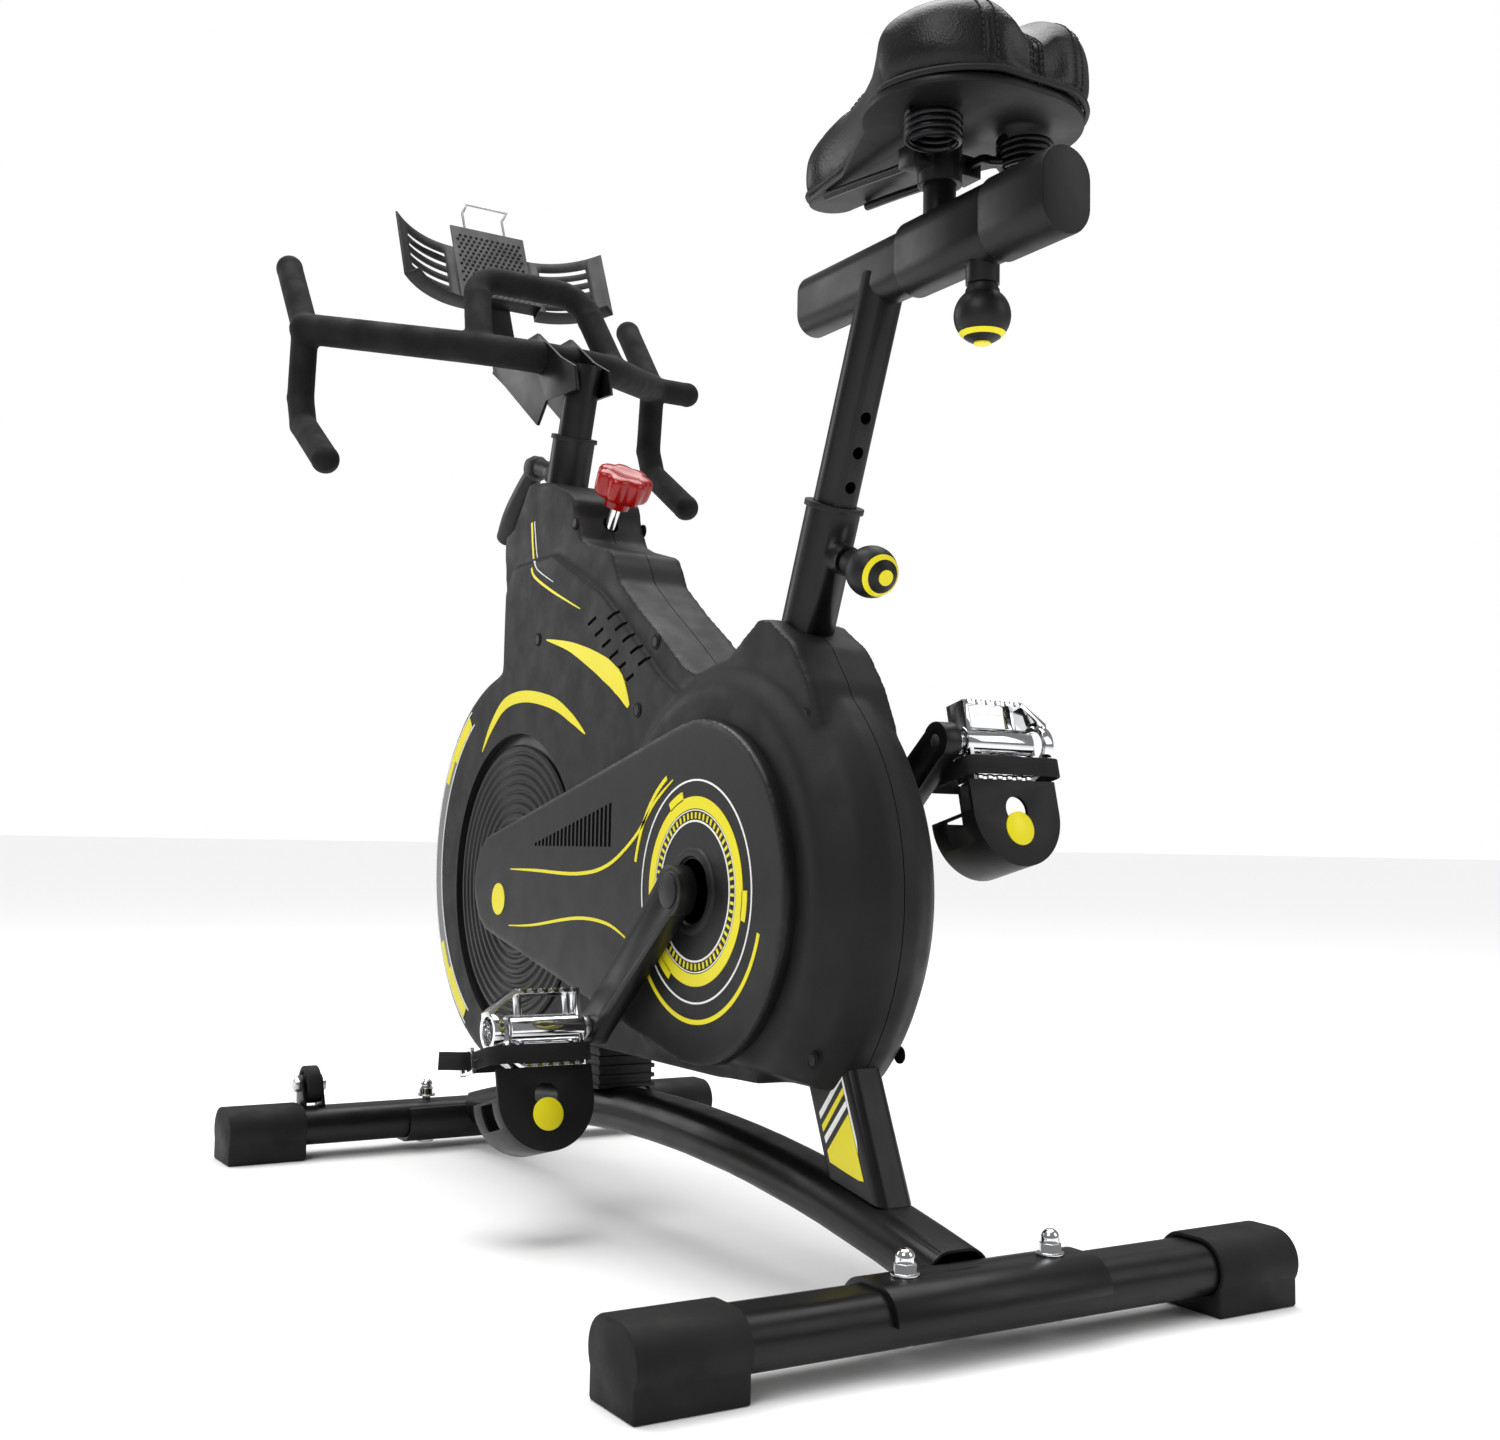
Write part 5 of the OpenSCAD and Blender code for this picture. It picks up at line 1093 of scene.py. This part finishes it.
class BIKE_OT_knobs(bpy.types.Operator):
    """Tension knob, both pull knobs and the handlebar lever"""
    bl_idname = "bike.knobs"
    bl_label = "Knobs and lever"

    def execute(self, context):
        top = place(0, -545, 574) + ROD_AXIS * 0.04
        side = Vector((1, 0, 0))
        high = ROD_AXIS.cross(side)
        rings = []
        for along, grow in ((10, 0.80), (11.5, 0.90), (15, 0.97), (22, 1.0), (29, 1.0), (32.2, 0.94), (33.8, 0.84),
                            (34, 0.5), (33.2, 0.42), (33.0, 0.05)):
            rings.append((along, grow))
        m = 96
        verts = []
        for along, grow in rings:
            for k in range(m):
                a = 2 * math.pi * k / m
                lobe = 1 - 0.16 * (0.5 - 0.5 * math.cos(7 * a)) ** 1.6 if grow > 0.7 else 1
                r = 0.0262 * grow * lobe
                verts.append(top + ROD_AXIS * along / 1000 + (side * math.cos(a) + high * math.sin(a)) * r)
        faces = []
        for i in range(len(rings) - 1):
            for k in range(m):
                l = (k + 1) % m
                faces.append((i * m + k, i * m + l, (i + 1) * m + l, (i + 1) * m + k))
        faces += [tuple(reversed(range(m))), tuple((len(rings) - 1) * m + k for k in range(m))]
        collar = lathe([(-0.0, 0.0085), (0.001, 0.0115), (0.009, 0.0125), (0.0105, 0.019), (0.0115, 0.02)], top,
                       ROD_AXIS, 48)
        v, f = join_geometry([(verts, faces), collar])
        solid("tension_knob_moulding", v, f, "red", "brake_knob", "red_plastic", 40, ("tension_knob",))
        self.pull_knob("seat_pull", "seat_knob", "seat_pin", Vector((0, math.cos(SEAT_LEAN), -math.sin(SEAT_LEAN))))
        self.pull_knob("slide_pull", "slide_knob", "slide_screw", Vector((0, 0, -1)))
        self.lever()
        return {"FINISHED"}

    def pull_knob(self, name, node, body, axis):
        """A black ball with an accent ring and face on a necked stem."""
        centre = place(*KNOB_SPOTS[node])
        r = 0.0185
        profile = [(-0.048, 0.004), (-0.047, 0.005), (-0.030, 0.005), (-0.030, 0.0085), (-0.028, 0.0095),
                   (-0.019, 0.0098), (-0.017, 0.0110)]
        profile += [(r * math.sin(a), r * math.cos(a)) for a in
                    (math.radians(-52 + 134 * i / 18) for i in range(19))]
        profile += [(r * 0.985, 0.0005)]
        solid(name + "_ball", *lathe(profile, centre, axis, 56), "nylon", body, "knob_plastic", 45, (node,))
        band = [(0.0112, r * 0.790), (0.0112, r * 0.815), (0.0125, r * 0.752), (0.0140, r * 0.672),
                (0.0140, r * 0.640)]
        solid(name + "_ring", *lathe(band, centre, axis, 56), "yellow", body, "knob_plastic", 45)
        face = [(0.0170, r * 0.30), (0.0186, r * 0.30), (0.0188, r * 0.24), (0.0188, 0.0003)]
        solid(name + "_face", *lathe(face, centre, axis, 40), "yellow", body, "knob_plastic", 45)

    def lever(self):
        """The curved pull lever in front of the head tube."""
        axis = Vector((0, -math.cos(BAR_LEAN), math.sin(BAR_LEAN)))
        root = place(0, -621, 652)
        stem = [root + axis * d / 1000 for d in (18, 30, 45, 60, 74)]
        v1, f1 = sweep(stem, round_section(0.0088, 24))
        handle = curve_through([place(0, -703, 673), place(0, -716, 664), place(0, -738, 646), place(0, -757, 631),
                                place(0, -771, 620), place(0, -779, 614)], 8)
        rings = len(handle)
        verts, m = [], 28
        for i, (p, (a, b)) in enumerate(zip(handle, frames_along(handle, Vector((1, 0, 0))))):
            t = i / (rings - 1)
            r = 0.0085 + 0.0032 * math.sin(math.pi * min(1, t * 1.05)) ** 2
            if t > 0.9:
                r *= math.sqrt(max(0.02, 1 - ((t - 0.9) / 0.1) ** 2))
            verts += [p + a * r * 1.15 * math.cos(2 * math.pi * k / m) + b * r * math.sin(2 * math.pi * k / m)
                      for k in range(m)]
        faces = [(i * m + k, i * m + (k + 1) % m, (i + 1) * m + (k + 1) % m, (i + 1) * m + k)
                 for i in range(rings - 1) for k in range(m)]
        faces += [tuple(reversed(range(m))), tuple((rings - 1) * m + k for k in range(m))]
        hub = lathe([(-0.012, 0.003), (-0.0105, 0.0085), (-0.004, 0.0125), (0.004, 0.0125), (0.0105, 0.0085),
                     (0.012, 0.003)], place(0, -700, 675), (1, 0, 0), 40)
        v, f = join_geometry([(v1, f1), (verts, faces), hub])
        solid("bar_lever_moulding", v, f, "nylon", "bar_pin", "knob_plastic", 40, ("bar_lever",))


SEAT_LEAN = math.radians(21)
BAR_LEAN = math.radians(17.5)
KNOB_SPOTS = {"seat_knob": (0, -183.1 + 64 * math.cos(SEAT_LEAN), 520 - 64 * math.sin(SEAT_LEAN)),
              "slide_knob": (0, -4, 648)}


class BIKE_OT_holder(bpy.types.Operator):
    """Domed grip studs on the tablet holder's panel"""
    bl_idname = "bike.holder"
    bl_label = "Tablet holder studs"

    def execute(self, context):
        lean = math.radians(24)
        up = Vector((0, -math.sin(lean), math.cos(lean)))
        out = Vector((0, math.cos(lean), math.sin(lean)))
        foot = place(0, -806, 866)
        points = []
        for row in range(15):
            for col in range(12):
                x = (col - 5.5) * 6.2 + (3.1 if row % 2 else 0) - 1.5
                points.append(foot + Vector((x / 1000, 0, 0)) + up * (14 + row * 5.6) / 1000 + out * 0.0001)
        tree, given, end = node_tree("holder_studs", [("Radius", "NodeSocketFloat"), ("Lean", "NodeSocketVector"),
                                                      ("Material", "NodeSocketMaterial")])
        dome = add(tree, "GeometryNodeMeshUVSphere", [("Radius", given[1])], i0=10, i1=6)
        flat = add(tree, "GeometryNodeTransform", [("Geometry", dome.outputs[0])])
        flat.inputs["Scale"].default_value = (1, 1, 0.45)
        turn = add(tree, "FunctionNodeEulerToRotation", [(0, given[2])])
        laid = add(tree, "GeometryNodeInstanceOnPoints", [("Points", given[0]), ("Instance", flat.outputs[0]),
                                                          ("Rotation", turn.outputs[0])])
        finish_tree(tree, end, laid.outputs[0], given[3])
        grown("holder_studs", tree, points, [], {"Radius": 0.0017, "Lean": (lean - math.radians(90), 0, 0)}, "rubber",
              "bar_set", "black_plastic", 60)
        return {"FINISHED"}


def leg_patch(side, outline):
    """A film on the rear leg's side from (rearward, up the leg) points in mm."""
    lean = math.radians(24)
    up = Vector((0, -math.sin(lean), math.cos(lean)))
    rear = Vector((0, math.cos(lean), math.sin(lean)))
    foot = place(0, -112, 62)
    n = len(outline)
    verts = [foot + rear * u / 1000 + up * v / 1000 + Vector((side * x / 1000, 0, 0))
             for x in (14.2, 15.3) for u, v in outline]
    faces = [tuple(range(n)), tuple(range(2 * n - 1, n - 1, -1))]
    faces += [(i, (i + 1) % n, n + (i + 1) % n, n + i) for i in range(n)]
    return verts, faces


class BIKE_OT_leg_stripes(bpy.types.Operator):
    """Printed stripes on both sides of the rear leg and the toe clip badges"""
    bl_idname = "bike.leg_stripes"
    bl_label = "Leg stripes and badges"

    def execute(self, context):
        for side, tag in ((1, "left"), (-1, "right")):
            bands = [[], []]
            for ink, rear, front in ((0, 85, 68), (1, 76, 59), (0, 67, 51)):
                bands[ink].append(leg_patch(side, [(-17, front), (17, rear), (17, rear + 4), (-17, front + 4.6)]))
            bands[1].append(leg_patch(side, [(-17, 38), (0, 26), (12, 18), (17, 16), (17, 62), (-17, 46)]))
            bands[0].append(leg_patch(side, [(17.6, 35), (19.4, 42), (19.4, 90), (17.6, 90)]))
            solid("leg_white_" + tag, *join_geometry(bands[0]), "white", "frame", "frame_coat", 40)
            solid("leg_accent_" + tag, *join_geometry(bands[1]), "yellow", "frame", "frame_coat", 40)
        for side, body, tag in ((1, "pedal_set_left", "left"), (-1, "pedal_set_right", "right")):
            at, turn = pedal_place(side)
            spot = at(124, -66, -10.2)
            axis = turn @ Vector((0, 0, -1))
            disc = lathe([(-0.0005, 0.0125), (0.0006, 0.0125), (0.0009, 0.0121), (0.0009, 0.0003)], spot, axis, 48)
            solid("toe_badge_" + tag, *disc, "yellow", body, "black_plastic", 40)
        return {"FINISHED"}


# ---------------------------------------------------------------- stage

class BIKE_OT_stage(bpy.types.Operator):
    """Pale floor, soft studio light and the camera"""
    bl_idname = "bike.stage"
    bl_label = "Stage"

    def execute(self, context):
        scene = context.scene
        half = sizes().floor_size / 2
        verts, faces = [], []
        for i in range(9):
            for j in range(9):
                verts.append((half * (i / 4 - 1), half * (j / 4 - 1), 0))
        for i in range(8):
            for j in range(8):
                faces.append((i * 9 + j, (i + 1) * 9 + j, (i + 1) * 9 + j + 1, i * 9 + j + 1))
        mesh = bpy.data.meshes.new("studio_floor")
        mesh.from_pydata(verts, [], faces)
        floor = bpy.data.objects.new("studio_floor", mesh)
        floor.data.materials.append(FINISH["paper"])
        context.collection.objects.link(floor)
        floor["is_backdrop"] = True
        for name, spot, size, power in (("key", (2.6, 1.6, 2.9), 1.8, 55), ("fill", (-2.2, 2.6, 2.0), 2.0, 24),
                                        ("top", (0.3, -0.6, 3.4), 2.2, 45), ("front", (1.6, -3.0, 1.6), 1.6, 22)):
            light = bpy.data.lights.new(name, "AREA")
            light.energy = power
            light.size = size
            lamp = bpy.data.objects.new(name, light)
            lamp.location = spot
            lamp.rotation_euler = (Vector((0, 0, 0.45)) - Vector(spot)).to_track_quat("-Z", "Y").to_euler()
            context.collection.objects.link(lamp)
        sky = bpy.data.lights.new("sky", "SUN")
        sky.energy = 2.5
        sky.angle = math.radians(60)
        lamp = bpy.data.objects.new("sky", sky)
        lamp.rotation_euler = (math.radians(12), math.radians(-8), 0)
        context.collection.objects.link(lamp)
        world = bpy.data.worlds.new("studio")
        world.use_nodes = True
        back = world.node_tree.nodes["Background"]
        back.inputs[0].default_value = (1, 1, 1, 1)
        seen = add(world.node_tree, "ShaderNodeLightPath").outputs["Is Camera Ray"]
        glow = add(world.node_tree, "ShaderNodeMapRange", [("Value", seen)], i3=0.26, i4=1.0)
        world.node_tree.links.new(glow.outputs[0], back.inputs[1])
        scene.world = world
        scene.view_settings.view_transform = "Standard"
        self.camera(scene)
        return {"FINISHED"}

    def camera(self, scene):
        """A 40.7 mm lens at the rider's left rear, a little below the saddle, looking slightly up."""
        lens = bpy.data.cameras.new("camera")
        lens.lens = 40.74
        lens.sensor_width = 36.0
        look = Vector((-0.518, -0.852, 0.073)).normalized()
        right = look.cross(Vector((0, 0, 1))).normalized()
        high = right.cross(look)
        roll = math.radians(0.98)
        r2 = right * math.cos(roll) + high * math.sin(roll)
        u2 = high * math.cos(roll) - right * math.sin(roll)
        eye = bpy.data.objects.new("camera", lens)
        turn = Matrix((r2, u2, -look)).transposed()
        eye.matrix_world = Matrix.Translation(place(680.69, 836.13, 306.07)) @ turn.to_4x4()
        scene.collection.objects.link(eye)
        scene.camera = eye


# ---------------------------------------------------------------- panel and registration

OPERATORS = (BIKE_OT_stage, BIKE_OT_frame, BIKE_OT_straps, BIKE_OT_shell, BIKE_OT_covers, BIKE_OT_screws,
             BIKE_OT_graphics, BIKE_OT_rim_band, BIKE_OT_saddle, BIKE_OT_grips, BIKE_OT_knobs, BIKE_OT_holder, BIKE_OT_leg_stripes)


class BIKE_PT_parts(bpy.types.Panel):
    """Lists the bike's pieces and settings"""
    bl_label = "Cycling bike"
    bl_idname = "BIKE_PT_parts"
    bl_space_type = "VIEW_3D"
    bl_region_type = "UI"
    bl_category = "Bike"

    def draw(self, context):
        for group in (context.scene.bike_sizes, context.scene.bike_colours):
            for key in group.__annotations__:
                self.layout.prop(group, key)
        for kind in OPERATORS:
            self.layout.operator(kind.bl_idname)


CLASSES = (BikeSizes, BikeColours) + OPERATORS + (BIKE_PT_parts,)


def register():
    for kind in CLASSES:
        bpy.utils.register_class(kind)
    bpy.types.Scene.bike_sizes = bpy.props.PointerProperty(type=BikeSizes)
    bpy.types.Scene.bike_colours = bpy.props.PointerProperty(type=BikeColours)


def unregister():
    del bpy.types.Scene.bike_colours
    del bpy.types.Scene.bike_sizes
    for kind in reversed(CLASSES):
        bpy.utils.unregister_class(kind)


def main():
    register()
    FINISH.update(make_finishes())
    for kind in OPERATORS:
        group, name = kind.bl_idname.split(".")
        getattr(getattr(bpy.ops, group), name)()
    boxes = [[list(corner) for corner in box] for box in (CAD_BOX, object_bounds())]


if __name__ == "__main__":
    main()
